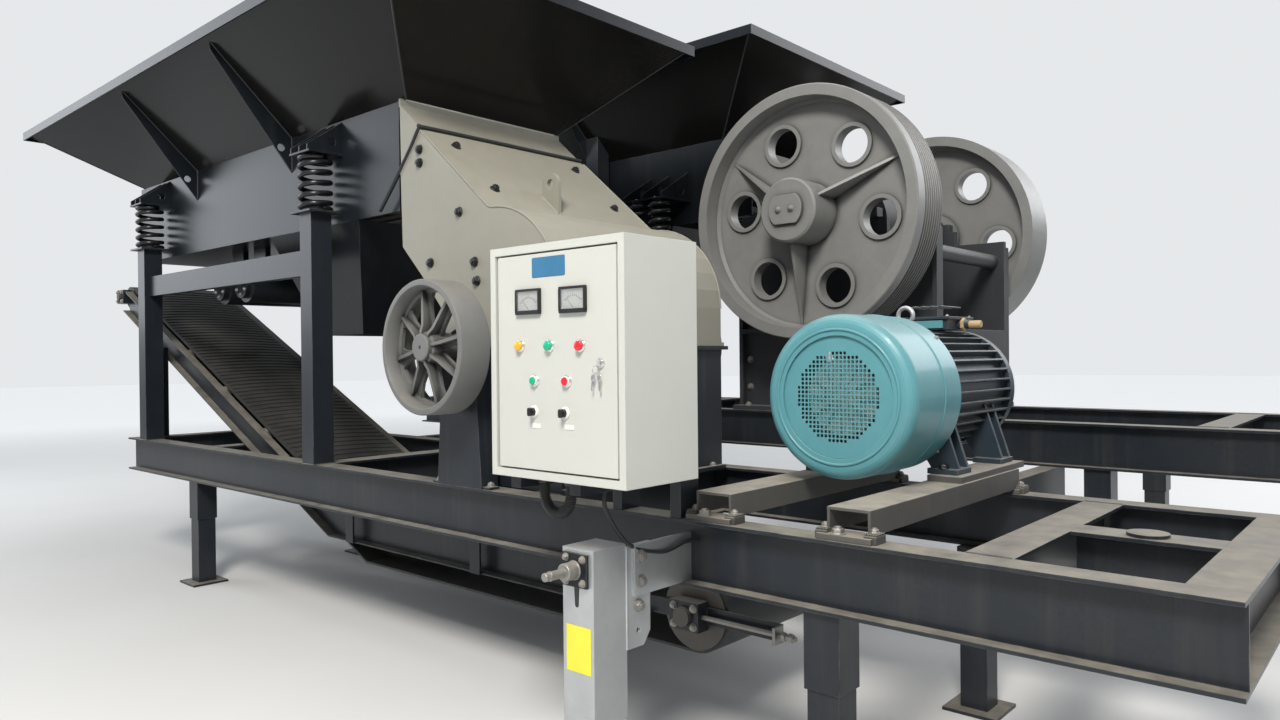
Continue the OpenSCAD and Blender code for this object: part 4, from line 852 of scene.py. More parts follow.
class PLANT_OT_wheel(bpy.types.Operator):
    """Cast wheel with flared flat spokes, a tall rib on each, a closed hub face and a rounded rim."""
    bl_idname = "plant.wheel"
    bl_label = "Spoked wheel"

    spokes = 8
    first_spoke = 0.2
    rim_depth = 32 * MM

    def execute(self, context):
        lo, hi = corner_low("spoked_wheel"), corner_high("spoked_wheel")
        half = (hi - lo)[1] / 2
        r = (hi - lo)[2] / 2
        inner = r - self.rim_depth
        # Sections of the rim and the hub as radius and place along the axle, one loop each
        rim = lathe([(r - 6 * MM, -half), (r, 6 * MM - half), (r, half - 8 * MM), (r - 4 * MM, half - 2 * MM),
                     (r - 10 * MM, half), (inner + 4 * MM, half), (inner, half - 5 * MM), (inner - 12 * MM, 16 * MM),
                     (inner - 26 * MM, 10 * MM), (inner - 26 * MM, -10 * MM), (inner - 12 * MM, -16 * MM),
                     (inner, 5 * MM - half), (inner + 4 * MM, -half), (r - 6 * MM, -half)], 96)
        hub = lathe([(0, half - 5 * MM), (7 * MM, half - 5 * MM), (9 * MM, half), (58 * MM, half),
                     (63 * MM, half - 4 * MM), (63 * MM, half - 24 * MM), (72 * MM, half - 30 * MM), (80 * MM, 0),
                     (72 * MM, 30 * MM - half), (66 * MM, -half), (0, -half)], 64)
        parts = [rim, hub]
        # A spoke's half widths along its length, and the side view of the rib on it
        flare = [(0.066, 0.026), (0.12, 0.021), (0.19, 0.024), (0.235, 0.040), (inner - 20 * MM, 0.062)]
        outline = flare + [(x, -y) for x, y in flare[::-1]]
        rib = [(0.055, 0.0), (0.055, half - 16 * MM), (0.078, half - 16 * MM), (0.105, half - 30 * MM),
               (inner - 16 * MM, 0.030), (inner - 8 * MM, 0.0)]
        for k in range(self.spokes):
            turn = facing(Z, turn=TAU * k / self.spokes + self.first_spoke)
            parts.append(placed(slab(outline, -9 * MM, 9 * MM), turn))
            points, faces = slab(rib, -8 * MM, 8 * MM)
            parts.append(placed((points[:, [0, 2, 1]], faces), turn))
        middle = (lo + hi) / 2
        make("cast_spoked_wheel", placed(joined(parts), facing(-Y, middle)), FINISH["cast_wheel"], "hammer_rotor",
             replaces=["spoked_wheel"])
        plug = placed(hex_head(15 * MM, 5 * MM), facing(-Y, middle - Y * (half - 5 * MM)))
        make("wheel_hub_bolt", plug, FINISH["black_plastic"], "hammer_rotor")
        return {"FINISHED"}


class PLANT_OT_cabinet_fittings(bpy.types.Operator):
    """Meters, lamps, buttons, knobs, lock with keys and blank plates on the cabinet door."""
    bl_idname = "plant.cabinet_fittings"
    bl_label = "Cabinet fittings"

    # Places on the door: along the row from the middle of the front chassis, and above the ground
    meters = [(1.777, 1.785), (1.995, 1.783)]
    lamps = [(1.731, 1.635, "amber_lens"), (1.879, 1.634, "green_lens"), (2.026, 1.632, "red_lens")]
    buttons = [(1.804, 1.516, "green_lens"), (1.961, 1.516, "red_lens")]
    knobs = [(1.799, 1.411), (1.951, 1.411)]
    plates = [(1.809, 1.363), (1.970, 1.365)]
    lock = (2.116, 1.576)
    nameplate = (1.874, 1.899)
    # The four bars of a meter's frame in millimetres: width, height and place from the meter's middle
    meter_bars = [(124, 8, 0, 39.5), (124, 14, 0, -36.5), (8, 74, -58, 0), (8, 74, 58, 0)]
    # The centre of a dial's arc below the meter's middle and in front of the door, and the arc's radius
    dial_drop = 34 * MM
    dial_lift = 3.2 * MM
    dial_radius = 48 * MM

    def execute(self, context):
        self.front = corner_low("cabinet_box")[1]
        self.build_meters()
        self.build_controls(context.scene.plant_sizes.lamp_radius)
        self.build_lock()
        self.build_plates()
        return {"FINISHED"}

    def spot(self, x, z, out=0.0):
        """A place on the door's face, or in front of it."""
        return np.array([at(x, 0, 0)[0], self.front - out, z])

    def panel(self, width, height, depth, radius, x, z, out=0.0):
        """A flat pad with round corners whose back lies on the door."""
        points, faces = raised(round_rect(width, height, radius), depth, min(1.5 * MM, depth * 0.4))
        return np.column_stack([points[:, 0], -points[:, 2], points[:, 1]]) + self.spot(x, z, out), faces

    def build_meters(self):
        """Black frames around a white dial with plain ticks on an arc, a needle and a window."""
        frames, dials, marks, panes = [], [], [], []
        for x, z in self.meters:
            for w, h, dx, dz in self.meter_bars:
                frames.append(self.panel(w * MM, h * MM, 12 * MM, 2 * MM, x + dx * MM, z + dz * MM))
            dials.append(self.panel(112 * MM, 76 * MM, 3 * MM, 1 * MM, x, z))
            centre = self.spot(x, z - self.dial_drop, self.dial_lift)
            for k in range(11):
                outward = ray(math.radians(140 - 10 * k))
                length = (8 if k % 5 == 0 else 5) * MM
                inner = centre + self.dial_radius * outward
                marks.append(tube([inner, inner + length * outward], 0.6 * MM, 6))
            arc = ray(np.radians(np.linspace(140, 40, 24)))
            marks.append(tube(centre + (self.dial_radius - 1 * MM) * arc, 0.5 * MM, 6))
            tip = centre + (self.dial_radius + 2 * MM) * ray(math.radians(128))
            marks.append(tube([centre + Z * 8 * MM, tip], [0.9 * MM, 0.4 * MM], 6))
            panes.append(self.panel(110 * MM, 72 * MM, 1.5 * MM, 1 * MM, x, z, 9 * MM))
        make("meter_frames", joined(frames), FINISH["black_plastic"], "door_leaf", replaces=["door_meters"])
        make("meter_dials", joined(dials), FINISH["paper"], "door_leaf")
        make("meter_marks", joined(marks), FINISH["black_plastic"], "door_leaf")
        make("meter_windows", joined(panes), FINISH["window"], "door_leaf")

    def build_controls(self, r):
        """Turned bezels, domed lamps, button caps and bar knobs, from the radius of a lamp."""
        def at_spots(part, spots, out=0.0):
            """A turned part on the door at several spots."""
            return [placed(part, facing(-Y, self.spot(*spot[:2], out))) for spot in spots]

        bezel = lathe([(0, 0), (r * 1.25, 0), (r * 1.25, 3 * MM), (r * 1.12, 6 * MM), (r, 7 * MM), (0, 7 * MM)], 40)
        quarter = np.linspace(0, math.pi / 2, 8)
        dome = lathe([(0, 6 * MM), (r * 0.95, 6 * MM), (r * 0.95, 16 * MM)] +
                     [(r * 0.95 * math.cos(t), 16 * MM + 6 * MM * math.sin(t)) for t in quarter], 40)
        cap = lathe([(0, 6 * MM), (r * 0.8, 6 * MM), (r * 0.8, 15 * MM), (r * 0.72, 17 * MM), (0, 17 * MM)], 40)
        ring = lathe([(r * 0.82, 6 * MM), (r * 1.02, 6 * MM), (r * 1.02, 12 * MM), (r * 0.82, 13 * MM),
                      (r * 0.82, 6 * MM)], 40)
        make("control_bezels", joined(at_spots(bezel, self.lamps + self.buttons)), FINISH["chrome"], "door_leaf",
             replaces=["door_controls"])
        rings = at_spots(ring, self.buttons) + at_spots(ring, self.knobs, -5 * MM) + at_spots(bezel, self.knobs)
        make("control_rings", joined(rings), FINISH["white_plastic"], "door_leaf")
        for kind in ("amber_lens", "green_lens", "red_lens"):
            parts = at_spots(dome, [lamp for lamp in self.lamps if lamp[2] == kind])
            parts += at_spots(cap, [button for button in self.buttons if button[2] == kind])
            make(kind.replace("lens", "lenses"), joined(parts), FINISH[kind], "door_leaf")
        grips = at_spots(cap, self.knobs)
        grips += [self.panel(11 * MM, 29 * MM, 16 * MM, 5 * MM, x, z, 14 * MM) for x, z in self.knobs]
        make("selector_knobs", joined(grips), FINISH["black_plastic"], "door_leaf")

    def build_lock(self):
        """Chrome cylinder lock, a ring and two keys that hang from it."""
        x, z = self.lock
        face = lathe([(0, 0), (17 * MM, 0), (17 * MM, 4 * MM), (14 * MM, 8 * MM), (10 * MM, 8.5 * MM),
                      (9 * MM, 7 * MM), (0, 7 * MM)], 40)
        parts = [placed(face, facing(-Y, self.spot(x, z)))]
        parts.append(self.panel(3 * MM, 12 * MM, 3 * MM, 1 * MM, x, z, 7 * MM))
        t = np.linspace(0, TAU, 40, endpoint=False)
        circle = 13 * MM * np.stack([np.cos(t) * 0.8, 0.3 * np.cos(t), np.sin(t)], -1)
        parts.append(tube(self.spot(x - 0.008, z - 0.022, 16 * MM) + circle, 1.1 * MM, 8, closed=True))
        head = raised(round_rect(16 * MM, 20 * MM, 7 * MM), 2 * MM, 0.5 * MM)
        blade = raised(round_rect(6 * MM, 34 * MM, 1 * MM), 2 * MM, 0.4 * MM)
        # Each key hangs from the ring and leans a little, as a head with a blade below it
        for dx, lean in ((-0.022, -0.12), (0.004, 0.05)):
            top = self.spot(x + dx, z - 0.036, 13 * MM)
            for (points, faces), drop in ((head, 0.010), (blade, 0.036)):
                along, up, out = points.T
                hung = np.column_stack([along + lean * (drop - up), -out, up - drop])
                parts.append((hung + top, faces))
        make("lock_and_keys", joined(parts), FINISH["chrome"], "door_leaf")

    def build_plates(self):
        """Blank plates where the cabinet carries its labels."""
        make("blank_nameplate", self.panel(163 * MM, 68 * MM, 1.2 * MM, 6 * MM, *self.nameplate),
             FINISH["blue_plate"], "door_leaf")
        parts = [self.panel(46 * MM, 18 * MM, 1 * MM, 1 * MM, x, z) for x, z in self.plates]
        make("blank_tags", joined(parts), FINISH["white_plastic"], "door_leaf")


class PLANT_OT_hose(bpy.types.Operator):
    """Ribbed hose bend below the cabinet with its two glands, and the cable beside it."""
    bl_idname = "plant.hose"
    bl_label = "Hose bend"

    bend = 68 * MM
    gland_height = 34 * MM
    # The cable's way: down from its gland in the cabinet's floor, and in under the near rail's flange
    cable_exit = (1.935, -1.12)
    cable_run = [(1.94, -1.12, 1.06), (1.955, -1.02, 0.93), (1.97, -0.86, 0.88), (1.985, -0.745, 0.90),
                 (2.00, -0.685, 0.90)]

    def execute(self, context):
        lo, hi = corner_low("conduit_bend"), corner_high("conduit_bend")
        centre = np.array([(lo[0] + hi[0]) / 2, (lo[1] + hi[1]) / 2, hi[2] - 70 * MM])
        arc = centre + self.bend * ray(np.linspace(math.pi, TAU, 200))
        rise = np.linspace(0, 38 * MM, 24)[:, None]
        path = np.vstack([arc[0] + Z * rise[::-1], arc[1:-1], arc[-1] + Z * rise])
        pitch, length = context.scene.plant_sizes.hose_pitch, run_along(path)[-1]
        even = np.linspace(0, length, int(length / pitch * 6))
        ribs = 18.5 * MM + 2.0 * MM * np.sin(even * TAU / pitch)
        make("ribbed_hose", tube(resampled(path, even), ribs, 24), FINISH["hose_rubber"],
             replaces=["conduit_bend"])
        body = lathe([(0, -self.gland_height), (22 * MM, -self.gland_height), (24 * MM, -30 * MM),
                      (24 * MM, -16 * MM), (0, -16 * MM)], 32)
        gland = joined([placed(hex_head(48 * MM, 16 * MM), facing(Z, (0, 0, -16 * MM))), body])
        tops = [np.array([centre[0] + s * self.bend, centre[1], hi[2]]) for s in (-1, 1)]
        cable_gland = at(*self.cable_exit, corner_low("cabinet_box")[2])
        make("hose_glands", joined([placed(gland, facing(Z, p)) for p in tops + [cable_gland]]),
             FINISH["black_plastic"])
        cable = [cable_gland - Z * self.gland_height] + [at(*point) for point in self.cable_run]
        make("motor_cable", tube(smooth_path(cable, 60), 8 * MM, 12), FINISH["hose_rubber"])
        return {"FINISHED"}


class PLANT_OT_motor_fittings(bpy.types.Operator):
    """Cowl beads and screws, fan, end shield and foot bolts, terminal cover, eye bolt and plug of the motor."""
    bl_idname = "plant.motor_fittings"
    bl_label = "Motor fittings"

    # Radii of the cowl's bead and of the bolt circles, and places of the feet from the shaft and the row's middle
    bead_radius = 0.262
    shield_bolt_circle = 0.225
    cap_bolt_circle = 0.105
    foot_reach = 0.254
    foot_places = (0.137, 0.667)
    fan_depth = 56 * MM

    def execute(self, context):
        cowl = centre_of("motor_cowl")
        self.cowl_details(cowl)
        self.fan(cowl)
        self.body_bolts(cowl)
        self.terminal_details(cowl[0])
        return {"FINISHED"}

    def cowl_details(self, cowl):
        """Four screws round the cowl's rear edge, and a raised bead on its face and on its side."""
        low, high = corner_low("motor_cowl"), corner_high("motor_cowl")
        r, back = (high - low)[0] / 2, high[1]
        one, rear = bolt(8 * MM), np.array([cowl[0], back - 16 * MM, cowl[2]])
        screws = [placed(one, facing(d, rear + d * r)) for d in ray(np.radians([45, 135, 225, 315]))]
        make("cowl_screws", joined(screws), FINISH["zinc"])
        bead = hoop(self.bead_radius, 1 * MM, 6 * MM, 5 * MM, 96)
        make("cowl_bead", placed(bead, facing(-Y, (cowl[0], low[1], cowl[2]))), FINISH["teal_paint"])
        seam = hoop(r, 0, 4 * MM, 6 * MM, 96)
        make("cowl_side_bead", placed(seam, facing(-Y, (cowl[0], back - 0.150, cowl[2]))), FINISH["teal_paint"])

    def fan(self, cowl):
        """Pale dusty fan that shows through the grille: a dished disc with flat vanes."""
        disc = lathe([(0, 0), (0.085, 0), (0.150, 10 * MM), (0.150, 14 * MM), (0.085, 6 * MM), (0.055, 24 * MM),
                      (0, 28 * MM)], 48)
        vane = slab([(0.04, -3 * MM), (0.158, -3 * MM), (0.158, 3 * MM), (0.04, 3 * MM)], 2 * MM, 30 * MM)
        vanes = [placed(vane, facing(Z, turn=a)) for a in np.radians(np.arange(0, 360, 30))]
        place = (cowl[0], corner_low("motor_grille")[1] + self.fan_depth, cowl[2])
        make("cooling_fan", placed(joined([disc] + vanes), facing(-Y, place)), FINISH["dusty_fan"], "motor_shaft")

    def body_bolts(self, cowl):
        """Bolts of the end shield, of the bearing cap on it and of the feet."""
        low, high = corner_low("motor_body"), corner_high("motor_body")
        shield = np.array([cowl[0], high[1] - 25 * MM, cowl[2]])
        ring = shield + self.shield_bolt_circle * ray(np.radians(np.arange(22.5, 360, 45)))
        bolts("end_shield_bolts", ring, Y, 14 * MM, FINISH["zinc"])
        cap = shield + Y * 25 * MM + self.cap_bolt_circle * ray(np.radians(np.arange(0, 360, 60)))
        bolts("bearing_cap_bolts", cap, Y, 10 * MM, FINISH["zinc"])
        feet = [np.array([cowl[0] + s * self.foot_reach, at(0, y, 0)[1], low[2] + 22 * MM])
                for s in (-1, 1) for y in self.foot_places]
        bolts("foot_bolts", feet, Z, 20 * MM, FINISH["spring_steel"])

    def terminal_details(self, middle):
        """Ribs and screws of the terminal box's lid, its painted cover, its plug and the eye bolt beside it."""
        lo, hi = corner_low("terminal_box"), corner_high("terminal_box")
        ribs = [brick((middle + x - 6 * MM, hi[1] - 0.25, hi[2] - 2 * MM),
                      (middle + x + 6 * MM, hi[1] - 0.03, hi[2] + 5 * MM)) for x in np.arange(-0.08, 0.09, 0.04)]
        make("lid_ribs", joined(ribs), FINISH["motor_paint"])
        cover = brick((lo[0] + 0.032, hi[1] - 0.268, lo[2] + 6 * MM), (lo[0] + 0.232, hi[1] - 0.260, lo[2] + 42 * MM))
        make("terminal_cover", cover, FINISH["teal_paint"])
        eye = hoop(34 * MM, 0, 9.6 * MM, 9.6 * MM, 48)
        make("eye_bolt", placed(eye, facing(-Y, (middle, hi[1] - 0.422, lo[2] + 60 * MM))), FINISH["galvanised"])
        lid = [np.array([middle + s * 0.118, y, lo[2] + 58 * MM]) for s in (-1, 1)
               for y in (hi[1] - 0.26, hi[1] - 0.012)]
        bolts("lid_screws", lid, Z, 8 * MM, FINISH["zinc"])
        spot = np.array([hi[0], hi[1] - 137 * MM, lo[2] + 23 * MM])
        stub = lathe([(0, 0), (17 * MM, 0), (17 * MM, 66 * MM), (15 * MM, 74 * MM), (0, 74 * MM)], 32)
        plug = joined([placed(hex_head(52 * MM, 14 * MM), facing(X, spot - X * 34 * MM)),
                       placed(stub, facing(X, spot - X * 22 * MM))])
        make("terminal_plug", plug, FINISH["tan_plug"])


class PLANT_OT_flywheel_fittings(bpy.types.Operator):
    """End caps of the flywheel shaft, each with two flats and two bolts."""
    bl_idname = "plant.flywheel_fittings"
    bl_label = "Flywheel fittings"

    # Radius of an end cap, half the width over its flats, and from its middle to a bolt
    cap_radius = 0.118
    half_flats = 0.090
    bolt_reach = 0.046

    def execute(self, context):
        shaft = centre_of("flywheel_shaft")
        outline = ngon(72, self.cap_radius)
        outline[:, 1] = np.clip(outline[:, 1], -self.half_flats, self.half_flats)
        caps, screws = [], []
        for y, d in ((corner_low("flywheel_shaft")[1], -Y), (corner_high("flywheel_shaft")[1], Y)):
            end = np.array([shaft[0], y, shaft[2]])
            turn = facing(d, end - d * 4 * MM, math.pi / 2)
            caps.append(placed(raised(outline, 26 * MM, 2 * MM), turn))
            screws += [placed(bolt(20 * MM), facing(d, end + d * 22 * MM + turn[:3, 0] * s * self.bolt_reach))
                       for s in (-1, 1)]
        make("shaft_end_caps", joined(caps), FINISH["flywheel_paint"], "jaw_wheels")
        make("shaft_cap_bolts", joined(screws), FINISH["zinc"], "jaw_wheels")
        return {"FINISHED"}


class PLANT_OT_chassis_fittings(bpy.types.Operator):
    """Bolts and toothed clamps of the motor's rails, and weld beads of both chassis."""
    bl_idname = "plant.chassis_fittings"
    bl_label = "Chassis fittings"

    # Thickness of a motor rail's foot, and from its bolt to the clamp beside it
    rail_thick = 20 * MM
    clamp_reach = 90 * MM
    # Half a spring post, half a cross beam's flange, and from the row's middle to the rail's inner edge
    half_post = 65 * MM
    beam_face = 70 * MM
    flange_edge = 0.6205

    def execute(self, context):
        self.rail_fixings()
        self.chassis_welds(context.scene.plant_sizes.weld_radius)
        return {"FINISHED"}

    def rail_fixings(self):
        """A bolt through each end of the motor's rails, with a ridged clamp on both sides of it."""
        lo, hi = corner_low("motor_rails"), corner_high("motor_rails")
        ends = [(np.array([x, FRONT[1] + s * RAIL_Y, DECK + self.rail_thick]), s)
                for x in (lo[0] + 0.1, hi[0] - 0.1) for s in (-1, 1)]
        bolts("rail_end_bolts", [p - X * 30 * MM + Y * s * 24 * MM for p, s in ends], Z, 24 * MM, FINISH["zinc"])
        clamps, grips = [], []
        for p, _ in ends:
            for side in (-1, 1):
                foot = p + X * side * self.clamp_reach - Z * self.rail_thick
                grips.append(foot + Z * 34 * MM)
                clamps.append(brick(foot - (22 * MM, 34 * MM, 0), foot + (22 * MM, 34 * MM, 27 * MM)))
                clamps += [brick(foot + ((k * 9 - 3) * MM, -30 * MM, 26 * MM),
                                 foot + ((k * 9 + 3) * MM, 30 * MM, 34 * MM)) for k in range(-2, 3)]
        make("rail_clamps", joined(clamps), FINISH["worn_steel"])
        bolts("rail_clamp_bolts", grips, Z, 16 * MM, FINISH["zinc"])

    def chassis_welds(self, radius):
        """Beads round the feet of the spring posts, and where the cross beams meet the rails."""
        feet, seams = [], []
        half = (X + Y) * self.half_post
        for place, posts, beams in LINES:
            feet += [weld(rect_loop(foot - half, foot + half, 2), radius)
                     for foot in [place(x, y, DECK) for x in posts for y in (-RAIL_Y, RAIL_Y)]]
            seams += [weld([place(x - self.beam_face, y, DECK), place(x + self.beam_face, y, DECK)], radius * 0.8)
                      for x in beams for y in (-self.flange_edge, self.flange_edge)]
        make("post_welds", joined(feet), FINISH["dark_weld"])
        make("beam_welds", joined(seams), FINISH["dark_weld"])


class PLANT_OT_hopper_fittings(bpy.types.Operator):
    """Bolts of the spring brackets, welds of the hopper corners and fins, bolts of the vibrators."""
    bl_idname = "plant.hopper_fittings"
    bl_label = "Hopper fittings"

    # Places along X of the two ends, half the width, and the height
    throat = ((-3.82, -0.08), 0.56, 3.0)
    rim = ((-4.93, 0.57), 1.12, 3.54)
    fins = (-2.80, -1.36)
    # The fin's edge against the trough and the hopper, as half width and height
    fin_line = [(0.562, 2.79), (0.562, 3.0), (1.06, 3.481)]
    vibrators = (-2.65, -2.30)
    cap_bolt_circle = 0.07

    def execute(self, context):
        radius, ripple = context.scene.plant_sizes.weld_radius, 14 * MM
        places, corners, fins, caps = [], [], [], []
        ring = self.cap_bolt_circle * ray(np.radians(np.arange(30, 390, 60)))
        (xs, y0, z0), (us, y1, z1) = self.throat, self.rim
        for (place, posts, _), node, step in zip(LINES, ("feeder_brackets", "rear_brackets"), (48, 95)):
            lo, hi = corner_low(node), corner_high(node)
            places += [np.array([place(x, 0, 0)[0] + dx * MM, edge + s * dy * MM, lo[2] + 52 * MM])
                       for x in posts for edge, s in ((lo[1], 1), (hi[1], -1))
                       for dx in (-step, step) for dy in (45, 130)]
            corners += [weld([place(x, s * y0, z0), place(u, s * y1, z1)], radius, ripple)
                        for x, u in zip(xs, us) for s in (-1, 1)]
            fins += [weld([place(x + d, s * y, z) for y, z in self.fin_line], radius, ripple)
                     for x in self.fins for s in (-1, 1) for d in (-1 * MM, 13 * MM)]
            caps += [(place(x, s * 0.47, 2.13) + spot, s) for x in self.vibrators for s in (-1, 1) for spot in ring]
        bolts("bracket_bolts", places, Z, 16 * MM, FINISH["zinc"])
        make("hopper_corner_welds", joined(corners), FINISH["dark_weld"])
        make("fin_welds", joined(fins), FINISH["dark_weld"])
        for name, side in (("near_vibrator_bolts", -1), ("far_vibrator_bolts", 1)):
            bolts(name, [c for c, s in caps if s == side], Y * side, 12 * MM, FINISH["zinc"])
        return {"FINISHED"}


class PLANT_OT_jack_fittings(bpy.types.Operator):
    """Crank flange with bolts and stepped shaft, plate bolts and the blank yellow plate of the support jack."""
    bl_idname = "plant.jack_fittings"
    bl_label = "Jack fittings"

    # Middle of the crank's flange and of the blank plate, on the jack's near face
    crank = (1.872, -1.20, 0.862)
    label = (1.8795, -1.20, 0.587)
    flange_half = 59 * MM
    flange_thick = 11.5 * MM
    bolt_reach = 41 * MM

    def execute(self, context):
        self.crank_pieces(at(*self.crank))
        plate = raised(round_rect(162 * MM, 121 * MM, 3 * MM), 1 * MM, 0.3 * MM)
        make("blank_yellow_plate", placed(plate, facing(-Y, at(*self.label))), FINISH["yellow_plate"])
        spots = [at(x, -0.973, z) for x, z in ((1.965, 0.883), (1.965, 0.794), (1.953, 0.705))]
        bolts("jack_plate_bolts", spots, X, 22 * MM, FINISH["zinc"])
        bead = weld([at(1.953, -1.035, 0.56), at(1.953, -1.035, 0.925)], context.scene.plant_sizes.weld_radius)
        make("jack_plate_weld", bead, FINISH["galvanised"])
        return {"FINISHED"}

    def crank_pieces(self, crank):
        """Flange with four bolts, stepped shaft with a cross pin, and below it a thin black sheet of painted shade
        where a slot is.
        """
        face = crank - Y * self.flange_thick
        half = (X + Z) * self.flange_half
        make("crank_flange", brick(face - half, crank + half), FINISH["black_paint"])
        reach = (-self.bolt_reach, self.bolt_reach)
        bolts("crank_bolts", [face + X * a + Z * b for a in reach for b in reach], -Y, 13 * MM, FINISH["zinc"])
        shaft = lathe([(0, 0), (34 * MM, 0), (34 * MM, 5 * MM), (31 * MM, 7 * MM), (31 * MM, 50 * MM),
                       (28 * MM, 53 * MM), (15.5 * MM, 53 * MM), (15.5 * MM, 110 * MM), (17 * MM, 112 * MM),
                       (17 * MM, 116 * MM), (15 * MM, 118 * MM), (15 * MM, 138 * MM), (12 * MM, 141 * MM),
                       (0, 141 * MM)], 32)
        make("crank_shaft", placed(shaft, facing(-Y, crank - Y * 11 * MM)), FINISH["zinc"])
        hole = crank - Y * 132 * MM
        make("crank_pin", tube([hole - X * 19 * MM, hole + X * 19 * MM], 4 * MM, 10), FINISH["zinc"])
        # Painted shade: a thin black sheet stands in for the shade inside a slot in the tube
        t = np.linspace(math.pi, TAU, 12)
        slot_shade = [(-13 * MM, 0), *[(9 * MM * math.cos(a), -66 * MM + 9 * MM * math.sin(a)) for a in t], (13 * MM, 0)]
        points, faces = slab(slot_shade, 0, 0.6 * MM)
        make("crank_slot_shade", (points[:, [0, 2, 1]] * (1, -1, 1) + crank - Z * 56 * MM, faces), FINISH["black_plastic"])


class PLANT_OT_conveyor_fittings(bpy.types.Operator):
    """Fine bowed ribs on the belt, bearing bolts and the take-up screws of the tail drum."""
    bl_idname = "plant.conveyor_fittings"
    bl_label = "Conveyor fittings"

    # Faces of the belt's two strands, and axles of its drums: along the row and above the ground
    carrying = [(1.76, 0.692), (-1.118, 0.692), (-4.62, 2.245)]
    returning = [(-4.694, 2.077), (-0.790, 0.348), (1.76, 0.348)]
    tail = (1.76, 0.52)
    head = (-4.657, 2.161)
    # Distance between ribs, half their length and how far their middles run ahead
    rib_pitch = 0.06
    rib_half = 0.38
    rib_bow = 0.035
    # From the belt's middle to the bearing blocks' faces and to the take-up screws
    frame_face = 0.482
    screw_y = 0.448

    def execute(self, context):
        self.belt_ribs()
        for name, s in (("near_block_bolts", -1), ("far_block_bolts", 1)):
            spots = [at(x + dx, s * self.frame_face, z + dz) for x, z in (self.tail, self.head)
                     for dx in (-0.052, 0.052) for dz in (-0.038, 0.038)]
            bolts(name, spots, Y * s, 16 * MM, FINISH["zinc"])
        self.take_up()
        return {"FINISHED"}

    def belt_ribs(self):
        """Thin cords across both strands, each bowed ahead by bow (1 - (y / half)^2)."""
        across = np.linspace(-self.rib_half, self.rib_half, 7)
        ribs = []
        for strand in (self.carrying, self.returning):
            p = np.array(strand)
            run = run_along(p)
            for d in np.arange(self.rib_pitch, run[-1] - 0.08, self.rib_pitch):
                k = min(np.searchsorted(run, d, side="right") - 1, 1)
                ahead = (p[k + 1] - p[k]) / (run[k + 1] - run[k])
                spot = p[k] + ahead * (d - run[k])
                bow = min(self.rib_bow, run[k + 1] - d)
                line = [spot + ahead * bow * (1 - (y / self.rib_half) ** 2) for y in across]
                ribs.append(tube([at(q[0], y, q[1]) for q, y in zip(line, across)], 6 * MM, 6))
        make("belt_ribs", joined(ribs), FINISH["hose_rubber"])

    def take_up(self):
        """Threaded rods of the tail drum with two nuts each, and the block that they pass through."""
        (x, z), parts = self.tail, []
        nut = hex_head(32 * MM, 18 * MM)
        for y in (-self.screw_y, self.screw_y):
            start, end = at(x + 0.06, y, z), at(2.28, y, z)
            parts += [tube([start, end], 10 * MM, 12), placed(nut, facing(X, end - X * 62 * MM)),
                      placed(nut, facing(X, end - X * 30 * MM)),
                      brick(end - (88 * MM, 30 * MM, 34 * MM), end + (-76 * MM, 30 * MM, 34 * MM))]
        make("take_up_screws", joined(parts), FINISH["zinc"])


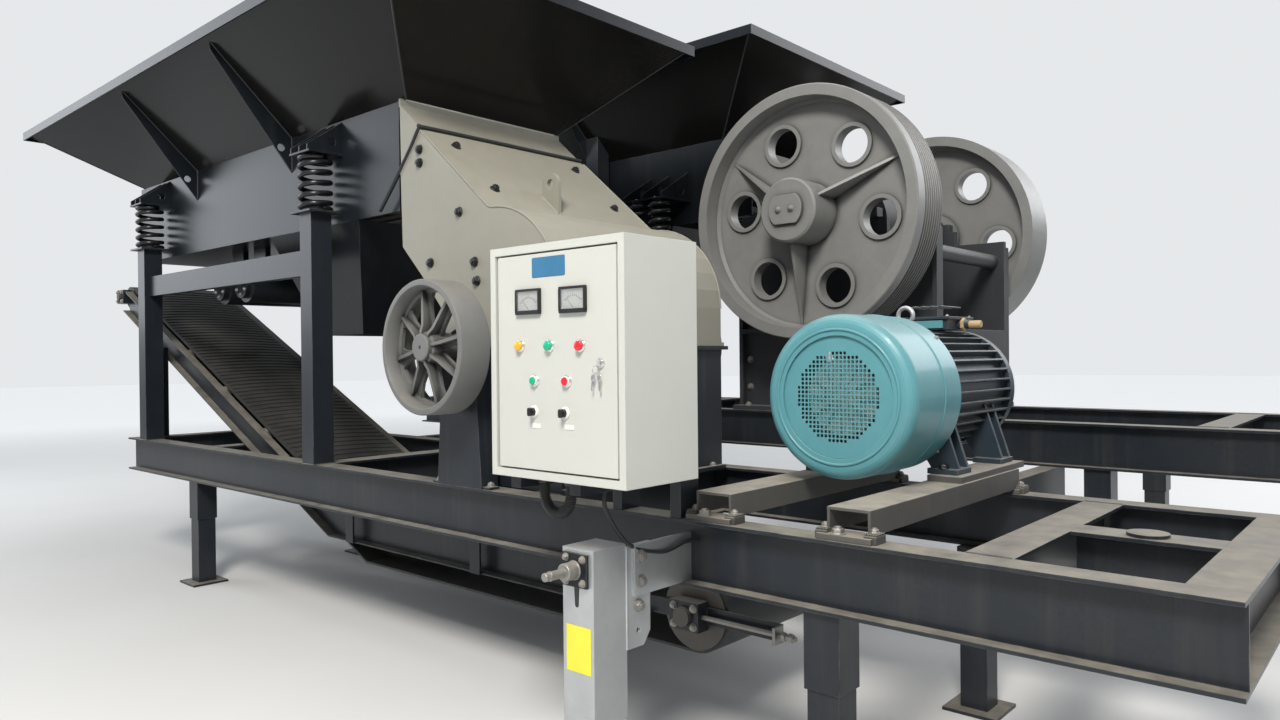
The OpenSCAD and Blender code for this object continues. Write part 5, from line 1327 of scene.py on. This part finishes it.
class PLANT_OT_jaw_fittings(bpy.types.Operator):
    """Bolts of the bearing housings, of the side plates and of the base of the jaw crusher."""
    bl_idname = "plant.jaw_fittings"
    bl_label = "Jaw crusher fittings"

    # Places along the row and above the ground
    side_bolts = [(0.315, 1.36), (0.315, 1.56), (0.315, 1.90), (0.315, 2.10), (0.315, 2.30), (1.69, 1.44),
                  (1.69, 1.62)]
    bearing_bolt_circle = 0.15
    # From the middle of the row to a side plate's face and to the bolts in its foot, and the foot's height
    plate_face = 0.57
    foot_line = 0.662
    foot_height = 0.25

    def execute(self, context):
        lo, hi = corner_low("bearing_housings"), corner_high("bearing_housings")
        axis = centre_of("flywheel_shaft")
        middle = REAR[1] - FRONT[1]
        ring = self.bearing_bolt_circle * ray(np.radians(np.arange(15, 360, 45)))
        for name, y, d in (("near", lo[1], -1), ("far", hi[1], 1)):
            bolts(name + "_bearing_bolts", np.array([axis[0], y, axis[2]]) + ring, Y * d, 22 * MM, FINISH["zinc"])
            plate = [at(x, middle + d * self.plate_face, z) for x, z in self.side_bolts]
            bolts(name + "_side_bolts", plate, Y * d, 24 * MM, FINISH["zinc"])
            foot = [at(x, middle + d * self.foot_line, DECK + self.foot_height)
                    for x in np.arange(0.36, 1.70, 0.22)]
            bolts(name + "_base_bolts", foot, Z, 24 * MM, FINISH["zinc"])
        return {"FINISHED"}


# The finishes come before the pieces that use them
OPERATORS = (PLANT_OT_finishes, PLANT_OT_stage, PLANT_OT_springs, PLANT_OT_housing_fittings, PLANT_OT_wheel,
             PLANT_OT_cabinet_fittings, PLANT_OT_hose, PLANT_OT_motor_fittings, PLANT_OT_flywheel_fittings,
             PLANT_OT_chassis_fittings, PLANT_OT_hopper_fittings, PLANT_OT_jack_fittings, PLANT_OT_conveyor_fittings,
             PLANT_OT_jaw_fittings)


class PLANT_PT_panel(bpy.types.Panel):
    """Lists the plant's pieces in the order in which they are made."""
    bl_idname = "PLANT_PT_panel"
    bl_label = "Crushing plant"
    bl_space_type = "VIEW_3D"
    bl_region_type = "UI"
    bl_category = "Plant"

    def draw(self, context):
        for group in (context.scene.plant_look, context.scene.plant_sizes):
            for name in group.__annotations__:
                self.layout.prop(group, name)
        for operator in OPERATORS:
            self.layout.operator(operator.bl_idname)


CLASSES = (PlantLook, PlantSizes, *OPERATORS, PLANT_PT_panel)


def register():
    """Adds the classes and the scene's two groups of properties."""
    for cls in CLASSES:
        bpy.utils.register_class(cls)
    bpy.types.Scene.plant_look = PointerProperty(type=PlantLook)
    bpy.types.Scene.plant_sizes = PointerProperty(type=PlantSizes)


def unregister():
    """Takes away what register adds, in the other order."""
    del bpy.types.Scene.plant_sizes
    del bpy.types.Scene.plant_look
    for cls in reversed(CLASSES):
        bpy.utils.unregister_class(cls)


def main():
    """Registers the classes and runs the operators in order."""
    register()
    for operator in OPERATORS:
        group, name = operator.bl_idname.split(".")
        getattr(getattr(bpy.ops, group), name)()


if __name__ == "__main__":
    main()
